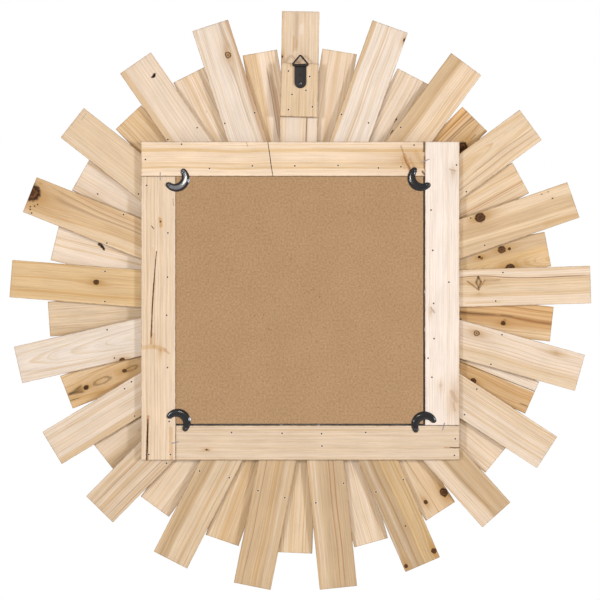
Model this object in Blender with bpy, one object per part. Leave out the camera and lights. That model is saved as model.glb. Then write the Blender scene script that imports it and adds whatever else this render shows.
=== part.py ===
"""Sunburst wall mirror: two layers of wooden slats nailed behind a square frame that holds the glass.

The mirror hangs by a wire ring, glass towards -Y and wall towards +Y, with +Z up. The origin is where the
nail bears, inside the top of the ring, on the frame's rear plane. Left and right are named from behind.
"""

import math

import bmesh
import bpy
from mathutils import Matrix, Vector

MM = 0.001
GAP = 0.3 * MM
EASED_EDGE = 0.5 * MM

# Layers, as heights along Y. The frame's rear plane is y = 0.
SLAT_THICKNESS = 7.0 * MM
FRAME_REAR = 0.0
LONG_REAR = FRAME_REAR - SLAT_THICKNESS - GAP
SHORT_REAR = LONG_REAR - SLAT_THICKNESS - GAP

# The burst: 21 long slats with a short one in front of each gap.
SPOKES = 21
STEP = 2 * math.pi / SPOKES
LONG_TIP_RADIUS = 342.5 * MM
LONG_INNER_RADIUS = 157.0 * MM
LONG_WIDTH = 44.6 * MM
SHORT_TIP_RADIUS = 299.5 * MM
SHORT_INNER_RADIUS = 141.5 * MM
SHORT_WIDTH = 41.7 * MM

# Each slat was nailed on by hand, a little off its spoke. Clockwise, seen from behind, is positive.
# Long slats: how far the tip is off the spoke in mm, the slat's lean in degrees, and how far it reaches
# past the tip radius in mm.
LONG_SET = (
    (0.5, 1.0, 0.0), (5.9, 2.6, -1.0), (4.4, 2.3, -0.5), (7.1, 2.3, 0.5), (6.8, 2.4, 2.0),
    (6.4, 2.6, 1.5), (9.5, 2.9, -1.0), (9.3, 2.9, 0.0), (2.1, 1.0, 1.0), (5.0, 2.5, 1.5),
    (6.1, 2.7, 0.0), (6.0, 2.8, 0.0), (5.5, 1.5, 0.5), (6.4, 1.6, 0.0), (-3.9, -1.2, -1.0),
    (0.4, 0.0, 0.0), (0.7, 0.2, 1.0), (0.1, 0.3, 1.5), (-3.5, -0.3, 0.0), (-2.6, -0.3, 0.0),
    (-5.9, -0.8, 0.5),
)
# Short slats: how far the tip is off the spoke in mm, and how far the slat reaches past the tip radius in
# mm. The inner end stays on the spoke.
SHORT_SET = (
    (2.0, 0.5), (4.9, -1.0), (4.9, 0.0), (4.2, 0.5), (5.3, 1.0), (5.3, 0.5), (6.4, -1.0),
    (1.9, 0.0), (3.3, 1.0), (4.2, 0.0), (6.6, 0.0), (4.9, 0.0), (5.1, 0.0), (0.9, -1.0),
    (0.4, -1.0), (0.7, 0.0), (1.8, 0.5), (-1.3, 1.5), (-1.3, -0.5), (-2.8, 0.0), (-3.7, -0.5),
)

# The square frame, four equal slats set end to side.
FRAME_SIDE = 375.1 * MM
FRAME_SLAT_WIDTH = 40.65 * MM
OPENING_SIDE = FRAME_SIDE - 2 * FRAME_SLAT_WIDTH

# What the frame holds.
GLASS_SIDE = 293.0 * MM
GLASS_THICKNESS = 3.0 * MM
BOARD_SIDE = 291.4 * MM
BOARD_THICKNESS = 3.2 * MM
BOARD_SHIFT = 0.9 * MM  # towards the upper left, until it nearly meets the frame there

# Turn clips: a domed crescent on a screw at one end.
CLIP_BEND = 11.75 * MM
CLIP_SWEEP = math.radians(172)
CLIP_END_HALF_WIDTH = 3.5 * MM
CLIP_MIDDLE_HALF_WIDTH = 5.1 * MM
CLIP_END_HEIGHT = 1.6 * MM
CLIP_MIDDLE_HEIGHT = 2.6 * MM
CLIP_RIM = 0.5 * MM
CLIP_STATIONS = 18
CLIP_FACETS = 8
# For each clip: the screw's place and the free end's, across and up from the burst's centre, in mm.
CLIP_PLACES = {
    "upper_left": ((154.9, 136.6), (137.7, 152.1)),
    "upper_right": ((-149.8, 136.3), (-134.2, 153.7)),
    "lower_left": ((135.5, -150.3), (154.0, -135.5)),
    "lower_right": ((-136.3, -151.4), (-156.3, -140.7)),
}
CLIP_SCREWED_TO = {
    "upper_left": "left",
    "upper_right": "right",
    "lower_left": "bottom",
    "lower_right": "bottom",
}

# Round-headed screws.
SCREW_SIDES = 16
SHANK_RADIUS = 1.1 * MM
HEAD_RADIUS = 2.25 * MM
HEAD_HEIGHT = 1.0 * MM
SCREW_DEPTH = 5.5 * MM
PILOT_CLEARANCE = 0.2 * MM
CLIP_HOLE_CLEARANCE = 0.2 * MM

# The hanger: a block on the top slat, and a strap with a rolled loop that holds the wire ring.
BLOCK_WIDTH = 44.2 * MM
BLOCK_LENGTH = 63.0 * MM
BLOCK_ACROSS = 1.0 * MM
BLOCK_UP = 248.4 * MM
BLOCK_LEAN = math.radians(1.7)
LOOP_UP = 276.8 * MM
LOOP_Y = 2.2 * MM
LOOP_RADIUS = 1.9 * MM
LOOP_HOLE_RADIUS = 1.25 * MM
LOOP_FACETS = 16
STRAP_WIDTH = 14.0 * MM
STRAP_THICKNESS = 1.6 * MM
STRAP_LENGTH = 26.5 * MM
STRAP_SCREW_DROP = 21.2 * MM
STRAP_END_FACETS = 12
WIRE_RADIUS = 1.0 * MM
WIRE_FACETS = 8
RING_HALF_WIDTH = 8.7 * MM
RING_HEIGHT = 11.7 * MM
RING_BASE_CORNER = 1.6 * MM
RING_TOP_CORNER = 1.5 * MM
RING_CORNER_POINTS = 6
# Nail holes in the block, across and up from its middle, in mm.
BLOCK_NAILS = ((13.5, 21.3), (-11.5, 14.8), (-7.1, -1.4), (9.2, -6.1), (-14.6, -20.9), (13.4, -24.1))
NAIL_HOLE_RADIUS = 0.7 * MM
NAIL_HOLE_DEPTH = 0.8 * MM
NAIL_HOLE_SIDES = 8

# The nail bears inside the ring's top, so the burst's centre is this far below the origin.
BURST_DROP = LOOP_UP + RING_HEIGHT - WIRE_RADIUS

BURST_PARENT = "burst_centre"


def clear_scene():
    for old in list(bpy.data.objects):
        bpy.data.objects.remove(old, do_unlink=True)


def make_material(name, colour, roughness, metallic=0.0):
    made = bpy.data.materials.new(name)
    made.use_nodes = True
    shader = made.node_tree.nodes["Principled BSDF"]
    shader.inputs["Base Color"].default_value = (*colour, 1.0)
    shader.inputs["Roughness"].default_value = roughness
    shader.inputs["Metallic"].default_value = metallic
    return made


def add_object(name, mesh, material=None, place=(0, 0, 0), turn=0.0):
    """A mesh object under the burst's empty, turned clockwise about Y as seen from behind."""
    made = bpy.data.objects.new(name, mesh)
    made.location = place
    made.rotation_euler = (0, -turn, 0)
    made.parent = bpy.data.objects[BURST_PARENT]
    if material:
        mesh.materials.append(material)
    bpy.context.scene.collection.objects.link(made)
    return made


def box_mesh(name, size):
    made = bmesh.new()
    bmesh.ops.create_cube(made, size=1.0)
    bmesh.ops.scale(made, vec=size, verts=made.verts)
    return to_mesh(name, made)


def to_mesh(name, made):
    bmesh.ops.recalc_face_normals(made, faces=made.faces)
    mesh = bpy.data.meshes.new(name)
    made.to_mesh(mesh)
    made.free()
    return mesh


def ease_edges(piece, width=EASED_EDGE):
    bevel = piece.modifiers.new("eased_edges", "BEVEL")
    bevel.width = width
    bevel.segments = 1
    bevel.limit_method = "ANGLE"


def cut_hole(piece, name, radius, middle, depth, sides=SCREW_SIDES):
    """Cuts a round hole along Y, its middle and depth given, with a cutter that the render leaves out."""
    made = bmesh.new()
    bmesh.ops.create_cone(
        made, cap_ends=True, segments=sides, radius1=radius, radius2=radius, depth=depth
    )
    bmesh.ops.rotate(made, verts=made.verts, matrix=Matrix.Rotation(math.pi / 2, 3, "X"))
    cutter = add_object(name, to_mesh(name, made), place=middle)
    cutter.hide_render = True
    cutter.display_type = "WIRE"
    cut = piece.modifiers.new(name, "BOOLEAN")
    cut.operation = "DIFFERENCE"
    cut.solver = "EXACT"
    cut.object = cutter


def spoke_slat(name, material, angle, tip_offset, lean, sizes, rear):
    """One slat of the burst, from its tip's place and its lean. Its inner end keeps its radius."""
    tip_radius, inner_radius, width = sizes
    outwards = Vector((-math.sin(angle), 0, math.cos(angle)))
    clockwise = Vector((-math.cos(angle), 0, -math.sin(angle)))
    along = Vector((-math.sin(angle + lean), 0, math.cos(angle + lean)))
    length = tip_radius - inner_radius
    middle = tip_radius * outwards + tip_offset * clockwise - length / 2 * along
    middle.y = rear - SLAT_THICKNESS / 2
    mesh = box_mesh(name, (width, SLAT_THICKNESS, length))
    ease_edges(add_object(name, mesh, material, middle, angle + lean))


def make_burst(long_wood, short_wood):
    for k, (offset, lean, reach) in enumerate(LONG_SET):
        name = f"long_slat_{k + 1:02d}"
        sizes = (LONG_TIP_RADIUS + reach * MM, LONG_INNER_RADIUS, LONG_WIDTH)
        spoke_slat(name, long_wood, k * STEP, offset * MM, math.radians(lean), sizes, LONG_REAR)
    for k, (offset, reach) in enumerate(SHORT_SET):
        name = f"short_slat_{k + 1:02d}"
        sizes = (SHORT_TIP_RADIUS + reach * MM, SHORT_INNER_RADIUS, SHORT_WIDTH)
        lean = math.atan2(offset * MM, SHORT_TIP_RADIUS - SHORT_INNER_RADIUS)
        spoke_slat(name, short_wood, (k + 0.5) * STEP, offset * MM, lean, sizes, SHORT_REAR)


def make_frame(wood):
    """Four equal slats: each meets the side of the next one with its end."""
    outer = FRAME_SIDE / 2
    inner = OPENING_SIDE / 2
    length = outer + inner - GAP
    along = (outer - inner + GAP) / 2  # from the middle of the side to the middle of the slat
    across = (outer + inner) / 2
    middle_y = FRAME_REAR - SLAT_THICKNESS / 2
    level = (length, SLAT_THICKNESS, FRAME_SLAT_WIDTH)
    upright = (FRAME_SLAT_WIDTH, SLAT_THICKNESS, length)
    slats = {
        "top": (level, (along, middle_y, across)),
        "right": (upright, (-across, middle_y, along)),
        "bottom": (level, (-along, middle_y, -across)),
        "left": (upright, (across, middle_y, -along)),
    }
    for side, (size, place) in slats.items():
        name = f"frame_slat_{side}"
        ease_edges(add_object(name, box_mesh(name, size), wood, place))


def make_glass_and_board(glass, board):
    name = "mirror_glass"
    place = (0, FRAME_REAR - SLAT_THICKNESS + GLASS_THICKNESS / 2, 0)
    size = (GLASS_SIDE, GLASS_THICKNESS, GLASS_SIDE)
    ease_edges(add_object(name, box_mesh(name, size), glass, place))
    name = "backing_board"
    place = (BOARD_SHIFT, FRAME_REAR - BOARD_THICKNESS / 2, BOARD_SHIFT)
    size = (BOARD_SIDE, BOARD_THICKNESS, BOARD_SIDE)
    add_object(name, box_mesh(name, size), board, place)


def crescent_mesh(name, pivot, free_end):
    """A domed crescent in the XZ plane that bulges towards the burst's centre. Its own origin is the pivot."""
    chord = free_end - pivot
    middle = (pivot + free_end) / 2
    bulge = Vector((-chord.z, 0, chord.x)).normalized()
    if bulge.dot(middle) > 0:
        bulge = -bulge
    centre = middle - bulge * CLIP_BEND * math.cos(CLIP_SWEEP / 2) - pivot
    sideways = chord.normalized()
    half_sweep = CLIP_SWEEP / 2
    cap = CLIP_END_HALF_WIDTH / CLIP_BEND  # the angle that the round end takes past the chord's end
    made = bmesh.new()
    rows = []
    for i in range(CLIP_STATIONS + 1):
        # stations gather at the two ends, where the outline turns most
        angle = -math.cos(math.pi * i / CLIP_STATIONS) * (half_sweep + cap * 0.985)
        share = min(abs(angle) / half_sweep, 1.0)
        swell = math.cos(share * math.pi / 2)
        half_width = CLIP_END_HALF_WIDTH + (CLIP_MIDDLE_HALF_WIDTH - CLIP_END_HALF_WIDTH) * swell
        past = max(abs(angle) - half_sweep, 0.0) * CLIP_BEND
        rounding = math.sqrt(max(CLIP_END_HALF_WIDTH**2 - past**2, 0.0)) / CLIP_END_HALF_WIDTH
        half_width *= rounding
        height = CLIP_END_HEIGHT + (CLIP_MIDDLE_HEIGHT - CLIP_END_HEIGHT) * swell
        outwards = bulge * math.cos(angle) + sideways * math.sin(angle)
        row = []
        for j in range(CLIP_FACETS + 1):
            share = -math.cos(math.pi * j / CLIP_FACETS)
            dome = CLIP_RIM + (height - CLIP_RIM) * math.sqrt(1 - share**2) * (0.4 + 0.6 * rounding)
            point = centre + outwards * (CLIP_BEND + half_width * share)
            point.y = GAP + dome
            row.append(made.verts.new(point))
        for share in (1, -1):
            point = centre + outwards * (CLIP_BEND + half_width * share)
            point.y = GAP
            row.append(made.verts.new(point))
        rows.append(row)
    corners = len(rows[0])
    for first, second in zip(rows, rows[1:]):
        for j in range(corners):
            made.faces.new((first[j], first[(j + 1) % corners], second[(j + 1) % corners], second[j]))
    made.faces.new(rows[0])
    made.faces.new(reversed(rows[-1]))
    return to_mesh(name, made)


def screw_mesh(name, head_base, head_radius=HEAD_RADIUS):
    """A turned screw along Y: blunt point, shank and a low domed head. Its own origin is on y = 0."""
    dome = [(head_radius * math.cos(a), head_base + HEAD_HEIGHT * (0.35 + 0.65 * math.sin(a)))
            for a in (0.0, 0.5, 0.95)]
    profile = [(0.5 * SHANK_RADIUS, -SCREW_DEPTH), (SHANK_RADIUS, -SCREW_DEPTH + SHANK_RADIUS),
               (SHANK_RADIUS, head_base), (head_radius, head_base), *dome]
    made = bmesh.new()
    rings = []
    for radius, y in profile:
        turns = [2 * math.pi * i / SCREW_SIDES for i in range(SCREW_SIDES)]
        rings.append([made.verts.new((radius * math.cos(t), y, radius * math.sin(t))) for t in turns])
    for first, second in zip(rings, rings[1:]):
        for i in range(SCREW_SIDES):
            j = (i + 1) % SCREW_SIDES
            made.faces.new((first[i], first[j], second[j], second[i]))
    made.faces.new(rings[0])
    made.faces.new(reversed(rings[-1]))
    return to_mesh(name, made)


def make_clips(black, steel):
    for corner, (screw, free) in CLIP_PLACES.items():
        pivot = Vector((screw[0], 0, screw[1])) * MM
        free_end = Vector((free[0], 0, free[1])) * MM
        name = f"turn_clip_{corner}"
        clip = add_object(name, crescent_mesh(name, pivot, free_end), black, pivot)
        hole = SHANK_RADIUS + CLIP_HOLE_CLEARANCE
        cut_hole(clip, f"hole_in_clip_{corner}", hole, pivot, 4 * CLIP_MIDDLE_HEIGHT)
        clip.data.shade_smooth()
        clip.data.set_sharp_from_angle(angle=math.radians(40))
        name = f"clip_screw_{corner}"
        screw_piece = add_object(name, screw_mesh(name, CLIP_END_HEIGHT + 2 * GAP), steel, pivot)
        screw_piece.data.shade_smooth()
        screw_piece.data.set_sharp_from_angle(angle=math.radians(40))
        drill_pilot(f"frame_slat_{CLIP_SCREWED_TO[corner]}", f"pilot_hole_{corner}", pivot)


def drill_pilot(slat_name, name, place):
    """A blind hole from the rear face, a little wider and deeper than the screw."""
    depth = SCREW_DEPTH + GAP
    slat = bpy.data.objects[slat_name]
    above = 2 * MM
    middle = Vector((place.x, (above - depth) / 2, place.z))
    cut_hole(slat, name, SHANK_RADIUS + PILOT_CLEARANCE, middle, depth + above)


def make_hanger_block(wood):
    name = "hanger_block"
    mesh = box_mesh(name, (BLOCK_WIDTH, SLAT_THICKNESS - GAP, BLOCK_LENGTH))
    middle = Vector((BLOCK_ACROSS, FRAME_REAR - (SLAT_THICKNESS - GAP) / 2, BLOCK_UP))
    block = add_object(name, mesh, wood, middle, BLOCK_LEAN)
    ease_edges(block)
    above = 1 * MM
    for k, (across, up) in enumerate(BLOCK_NAILS):
        place = middle + Vector((across, 0, up)) * MM
        place.y = (above - NAIL_HOLE_DEPTH) / 2
        depth = NAIL_HOLE_DEPTH + above
        cut_hole(block, f"nail_hole_{k + 1}", NAIL_HOLE_RADIUS, place, depth, NAIL_HOLE_SIDES)
    drill_pilot(name, "pilot_hole_strap", Vector((0, 0, LOOP_UP - STRAP_SCREW_DROP)))


def strap_mesh(name):
    """A flat strap with a round lower end, whose upper end is rolled into a loop along X."""
    half = STRAP_WIDTH / 2
    made = bmesh.new()
    front = GAP - LOOP_Y
    rear = front + STRAP_THICKNESS
    # the plate's outline, from the loop down one side, round the end and up the other side
    outline = [(half, -LOOP_HOLE_RADIUS - 0.2 * MM)]
    end = half - STRAP_LENGTH
    for i in range(STRAP_END_FACETS + 1):
        turn = math.pi * i / STRAP_END_FACETS
        outline.append((half * math.cos(turn), end - half * math.sin(turn)))
    outline.append((-half, -LOOP_HOLE_RADIUS - 0.2 * MM))
    sheet = made.faces.new([made.verts.new((x, front, z)) for x, z in outline])
    grown = bmesh.ops.extrude_face_region(made, geom=[sheet])
    moved = [part for part in grown["geom"] if isinstance(part, bmesh.types.BMVert)]
    bmesh.ops.translate(made, verts=moved, vec=(0, rear - front, 0))
    return to_mesh(name, made)


def loop_mesh(name):
    """The rolled tube, as a ring of quads swept across the strap."""
    half = STRAP_WIDTH / 2
    made = bmesh.new()
    rings = []
    for x in (-half, half):
        for radius in (LOOP_RADIUS, LOOP_HOLE_RADIUS):
            turns = [2 * math.pi * i / LOOP_FACETS for i in range(LOOP_FACETS)]
            rings.append([made.verts.new((x, radius * math.cos(t), radius * math.sin(t))) for t in turns])
    outer_low, inner_low, outer_high, inner_high = rings
    for first, second in (
        (outer_low, outer_high), (outer_high, inner_high), (inner_high, inner_low), (inner_low, outer_low)
    ):
        for i in range(LOOP_FACETS):
            j = (i + 1) % LOOP_FACETS
            made.faces.new((first[i], first[j], second[j], second[i]))
    return to_mesh(name, made)


def make_strap(black, steel):
    axis = Vector((0, LOOP_Y, LOOP_UP))
    name = "hanger_strap"
    strap = add_object(name, strap_mesh(name), black, axis)
    roll = add_object("strap_roll", loop_mesh("strap_roll"), place=axis)
    roll.hide_render = True
    roll.display_type = "WIRE"
    joined = strap.modifiers.new("rolled_loop", "BOOLEAN")
    joined.operation = "UNION"
    joined.solver = "EXACT"
    joined.object = roll
    screw_place = Vector((0, 0, LOOP_UP - STRAP_SCREW_DROP))
    hole = SHANK_RADIUS + CLIP_HOLE_CLEARANCE
    cut_hole(strap, "hole_in_strap", hole, screw_place, 8 * STRAP_THICKNESS)
    name = "hanger_screw"
    screw = add_object(name, screw_mesh(name, STRAP_THICKNESS + 2 * GAP), steel, screw_place)
    screw.data.shade_smooth()
    screw.data.set_sharp_from_angle(angle=math.radians(40))


def rounded_triangle():
    """The ring's centre line in its own XZ plane: a band drawn tight round two base corners and a top one."""
    base = Vector((RING_HALF_WIDTH - RING_BASE_CORNER, 0, RING_BASE_CORNER))
    other_base = Vector((-base.x, 0, base.z))
    top = Vector((0, 0, RING_HEIGHT - RING_TOP_CORNER))
    side = top - base
    # the direction square to the side that touches both its corners
    side_turn = math.atan2(side.z, side.x) - math.acos((RING_BASE_CORNER - RING_TOP_CORNER) / side.length)
    arcs = (
        (base, RING_BASE_CORNER, -math.pi / 2, side_turn),
        (top, RING_TOP_CORNER, side_turn, math.pi - side_turn),
        (other_base, RING_BASE_CORNER, math.pi - side_turn, 3 * math.pi / 2),
    )
    points = []
    for centre, radius, start, finish in arcs:
        for i in range(RING_CORNER_POINTS):
            turn = start + (finish - start) * i / (RING_CORNER_POINTS - 1)
            points.append(centre + radius * Vector((math.cos(turn), 0, math.sin(turn))))
    return points


def ring_mesh(name):
    """A round wire swept along the closed centre line."""
    path = rounded_triangle()
    made = bmesh.new()
    rings = []
    for k, point in enumerate(path):
        before = (point - path[k - 1]).normalized()
        after = (path[(k + 1) % len(path)] - point).normalized()
        along = (before + after).normalized()
        across = along.cross(Vector((0, 1, 0))).normalized()
        widen = 1 / max(before.dot(along), 0.5)
        ring = []
        for i in range(WIRE_FACETS):
            turn = 2 * math.pi * i / WIRE_FACETS
            offset = across * math.cos(turn) * widen + Vector((0, math.sin(turn), 0))
            ring.append(made.verts.new(point + offset * WIRE_RADIUS))
        rings.append(ring)
    for k, first in enumerate(rings):
        second = rings[(k + 1) % len(rings)]
        for i in range(WIRE_FACETS):
            j = (i + 1) % WIRE_FACETS
            made.faces.new((first[i], first[j], second[j], second[i]))
    return to_mesh(name, made)


def make_ring(black):
    name = "hanger_ring"
    ring = add_object(name, ring_mesh(name), black, Vector((0, LOOP_Y, LOOP_UP)))
    ring.data.shade_smooth()


def build():
    clear_scene()
    centre = bpy.data.objects.new(BURST_PARENT, None)
    centre.location = (0, 0, -BURST_DROP)
    bpy.context.scene.collection.objects.link(centre)
    make_burst(
        make_material("long_slat_wood", (0.76, 0.60, 0.42), 0.62),
        make_material("short_slat_wood", (0.74, 0.56, 0.37), 0.62),
    )
    make_frame(make_material("frame_wood", (0.78, 0.62, 0.44), 0.60))
    make_glass_and_board(
        make_material("mirror_silver", (0.90, 0.92, 0.91), 0.03, 1.0),
        make_material("hardboard", (0.48, 0.30, 0.16), 0.85),
    )
    black = make_material("black_enamel", (0.012, 0.012, 0.013), 0.25)
    steel = make_material("black_screw", (0.02, 0.02, 0.022), 0.35, 0.6)
    make_clips(black, steel)
    make_hanger_block(make_material("hanger_block_wood", (0.72, 0.56, 0.38), 0.62))
    make_strap(black, steel)
    make_ring(black)


build()
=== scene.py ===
"""The looks of the sunburst wall mirror, seen from behind: raw softwood slats, hardboard and black hardware.

Places on the mirror are in millimetres from the burst's centre. On a slat of the burst they are (across,
outwards) along its spoke; on the frame they are (across, up). Across is positive clockwise, seen from
behind, on a spoke, and positive along +X on the frame. The wall is at +Y, so behind means from +Y.
"""

import math
import random

import bmesh
import bpy
import numpy as np
from mathutils import Matrix, Vector
from mathutils import noise as lattice


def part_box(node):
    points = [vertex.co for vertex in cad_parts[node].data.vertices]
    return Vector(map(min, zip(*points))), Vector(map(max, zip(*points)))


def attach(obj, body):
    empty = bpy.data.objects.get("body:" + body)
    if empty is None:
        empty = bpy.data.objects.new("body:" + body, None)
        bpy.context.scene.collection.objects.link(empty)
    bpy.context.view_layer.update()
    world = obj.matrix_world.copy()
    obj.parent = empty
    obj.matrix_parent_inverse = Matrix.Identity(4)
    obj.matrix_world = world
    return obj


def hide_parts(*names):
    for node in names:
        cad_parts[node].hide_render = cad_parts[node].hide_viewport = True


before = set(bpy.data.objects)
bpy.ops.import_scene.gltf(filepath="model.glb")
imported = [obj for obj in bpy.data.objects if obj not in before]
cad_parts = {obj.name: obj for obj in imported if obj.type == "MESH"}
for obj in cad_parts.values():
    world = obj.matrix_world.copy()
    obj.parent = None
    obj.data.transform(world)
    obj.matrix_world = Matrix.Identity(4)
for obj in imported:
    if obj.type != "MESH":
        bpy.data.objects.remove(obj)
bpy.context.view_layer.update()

MM = 0.001
SPOKES = 21
STEP = 2 * math.pi / SPOKES

# ---------------------------------------------------------------- where things are

board_low, board_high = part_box("backing_board")
opening_low = Vector((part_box("frame_slat_right")[1].x, 0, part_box("frame_slat_bottom")[1].z))
opening_high = Vector((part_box("frame_slat_left")[0].x, 0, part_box("frame_slat_top")[0].z))
CENTRE = (opening_low + opening_high) / 2  # the burst's centre, on the frame's rear plane


class PlankFrame:
    """A slat's own axes, read from its CAD node: across, through (towards the wall) and along."""

    def __init__(self, node, along_hint):
        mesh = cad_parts[node].data
        sides = {}
        for face in mesh.polygons:
            if abs(face.normal.y) < 0.01:
                key = (round(face.normal.x, 2), round(face.normal.z, 2))
                area, normal = sides.get(key, (0.0, face.normal.copy()))
                sides[key] = (area + face.area, normal)
        across = max(sides.values(), key=lambda side: side[0])[1]
        along = across.cross(Vector((0, 1, 0))).normalized()
        if along.dot(along_hint) < 0:
            along.negate()
        self.along = along
        self.through = Vector((0, 1, 0))
        self.across = along.cross(self.through).normalized()  # clockwise, seen from behind
        points = [vertex.co for vertex in mesh.vertices]
        spans = []
        for axis in (self.across, self.through, self.along):
            reach = [point.dot(axis) for point in points]
            spans.append((min(reach), max(reach)))
        self.size = Vector([high - low for low, high in spans])
        middle = [(low + high) / 2 for low, high in spans]
        self.centre = self.across * middle[0] + self.through * spans[1][1] + self.along * middle[2]

    def to_world(self, across, through, along):
        return self.centre + self.across * across + self.through * through + self.along * along

    def to_own(self, point):
        """A world point as (across, along) in millimetres."""
        offset = point - self.centre
        return offset.dot(self.across) / MM, offset.dot(self.along) / MM


def spoke_point(angle, across, outwards):
    """The world point at that place on a spoke, angle clockwise from the top as seen from behind."""
    out = Vector((-math.sin(angle), 0, math.cos(angle)))
    side = Vector((-math.cos(angle), 0, -math.sin(angle)))
    return CENTRE + out * outwards * MM + side * across * MM


def burst_point(across, up):
    return CENTRE + Vector((across, 0, up)) * MM


def node_middle(node):
    low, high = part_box(node)
    return (low + high) / 2


# ---------------------------------------------------------------- colours

STUDIO_GAIN = 1.66  # how much brighter than its own colour a face towards the camera comes out


def linear(channel):
    channel /= 255
    return channel / 12.92 if channel <= 0.04045 else ((channel + 0.055) / 1.055) ** 2.4


def lit(red, green, blue, shade=1.0):
    """The surface colour that looks like this screen colour in the studio light."""
    return tuple(linear(channel) * shade / STUDIO_GAIN for channel in (red, green, blue)) + (1.0,)


# Wood between its darker lines.
TONES = {
    "white": (251, 237, 224),
    "pale": (247, 231, 214),
    "blush": (241, 221, 199),
    "cream": (238, 215, 188),
    "straw": (232, 207, 175),
    "honey": (226, 197, 160),
    "tan": (213, 185, 149),
    "rose": (214, 182, 150),
    "yellow": (227, 196, 151),
    "orange": (219, 181, 133),
    "olive": (212, 179, 134),
}
LATE_WOOD = (0.84, 0.75, 0.60)  # what is left of the tone in a growth ring's dark part
KNOT_DARK = lit(58, 30, 14)
KNOT_BLACK = lit(26, 14, 8)
KNOT_BROWN = lit(118, 72, 36)
KNOT_TAN = lit(158, 112, 66)
KNOT_PALE = lit(200, 160, 114)
KNOT_HALO = lit(190, 144, 82)
NAIL_STAIN = lit(46, 29, 18)
STREAKS = {
    "brown": lit(132, 80, 38),
    "grey": lit(150, 116, 84),
    "rust": lit(176, 106, 46),
    "honey": lit(206, 156, 86),
    "pale": lit(248, 232, 214),
    "black": lit(44, 24, 12),
}


# ---------------------------------------------------------------- node building


class Value:
    """A node's output that Python's arithmetic works on. Each operation adds one Math node."""

    def __init__(self, graph, socket):
        self.graph = graph
        self.socket = socket

    def __add__(self, other):
        return self.graph.math("ADD", self, other)

    def __sub__(self, other):
        return self.graph.math("SUBTRACT", self, other)

    def __rsub__(self, other):
        return self.graph.math("SUBTRACT", other, self)

    def __mul__(self, other):
        return self.graph.math("MULTIPLY", self, other)

    def __truediv__(self, other):
        return self.graph.math("DIVIDE", self, other)

    def __abs__(self):
        return self.graph.math("ABSOLUTE", self)


class Graph:
    """Adds nodes to one tree. An input is a number, a tuple or a Value."""

    def __init__(self, tree):
        self.tree = tree

    def add(self, kind, inputs=(), **settings):
        made = self.tree.nodes.new(kind)
        for key, value in settings.items():
            setattr(made, key, value)
        for key, value in dict(inputs).items():
            self.feed(made.inputs[key], value)
        return made

    def read(self, output, kind, inputs=(), **settings):
        """One output of a new node."""
        return Value(self, self.add(kind, inputs, **settings).outputs[output])

    def feed(self, socket, value):
        if isinstance(value, Value):
            self.tree.links.new(value.socket, socket)
        else:
            socket.default_value = value

    def math(self, operation, *values):
        return self.read(0, "ShaderNodeMath", enumerate(values), operation=operation)

    def length(self, first, second):
        return self.math("SQRT", first * first + second * second)

    def fade(self, value, reach):
        """From 1 towards 0 as the value grows, e times less at each reach."""
        return self.math("EXPONENT", value * (-1.0 / reach))

    def clamp(self, value):
        return self.read(0, "ShaderNodeClamp", {0: value})

    def smooth(self, value, low, high, to_low=0.0, to_high=1.0):
        """A soft step from to_low to to_high as the value goes from low to high."""
        inputs = {"Value": value, "From Min": low, "From Max": high, "To Min": to_low, "To Max": to_high}
        return self.read(0, "ShaderNodeMapRange", inputs, interpolation_type="SMOOTHSTEP")

    def noise(self, value, scale, detail=2.0, roughness=0.5):
        """Noise from 0 to 1 of a number."""
        inputs = {"W": value, "Scale": scale, "Detail": detail, "Roughness": roughness}
        return self.read("Fac", "ShaderNodeTexNoise", inputs, noise_dimensions="1D")

    def noise_at(self, place, scale, detail=2.0, roughness=0.5):
        """Noise from 0 to 1 of a place."""
        inputs = {"Vector": place, "Scale": scale, "Detail": detail, "Roughness": roughness}
        return self.read("Fac", "ShaderNodeTexNoise", inputs)

    def stretch(self, place, across, through, along):
        return self.read(0, "ShaderNodeMapping", {"Vector": place, "Scale": (across, through, along)})

    def object_place(self):
        return self.read("Object", "ShaderNodeTexCoord")

    def to_line(self, across, along, start, finish):
        """The distance from a straight line between two places."""
        run = Vector(finish) - Vector(start)
        off = across - start[0]
        up = along - start[1]
        share = self.clamp((off * run.x + up * run.y) / run.length_squared)
        return self.length(off - share * run.x, up - share * run.y)

    def mix(self, share, first, second):
        made = self.add("ShaderNodeMix", data_type="RGBA")
        for number, value in ((0, share), (6, first), (7, second)):
            self.feed(made.inputs[number], value)
        return Value(self, made.outputs[2])

    def scaled(self, colour, factor):
        """A colour times a number."""
        return self.read(0, "ShaderNodeVectorMath", {0: colour, "Scale": factor}, operation="SCALE")

    def bump(self, shader, height, distance, strength):
        inputs = {"Height": height, "Distance": distance, "Strength": strength}
        self.feed(shader.inputs["Normal"], self.read(0, "ShaderNodeBump", inputs))


def new_material(name, settings):
    """A material with some of its Principled shader's inputs set, then the shader and a graph to build on."""
    made = bpy.data.materials.new(name)
    made.use_nodes = True
    shader = made.node_tree.nodes["Principled BSDF"]
    for key, value in settings.items():
        shader.inputs[key].default_value = value
    return made, shader, Graph(made.node_tree)


# ---------------------------------------------------------------- softwood


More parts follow.
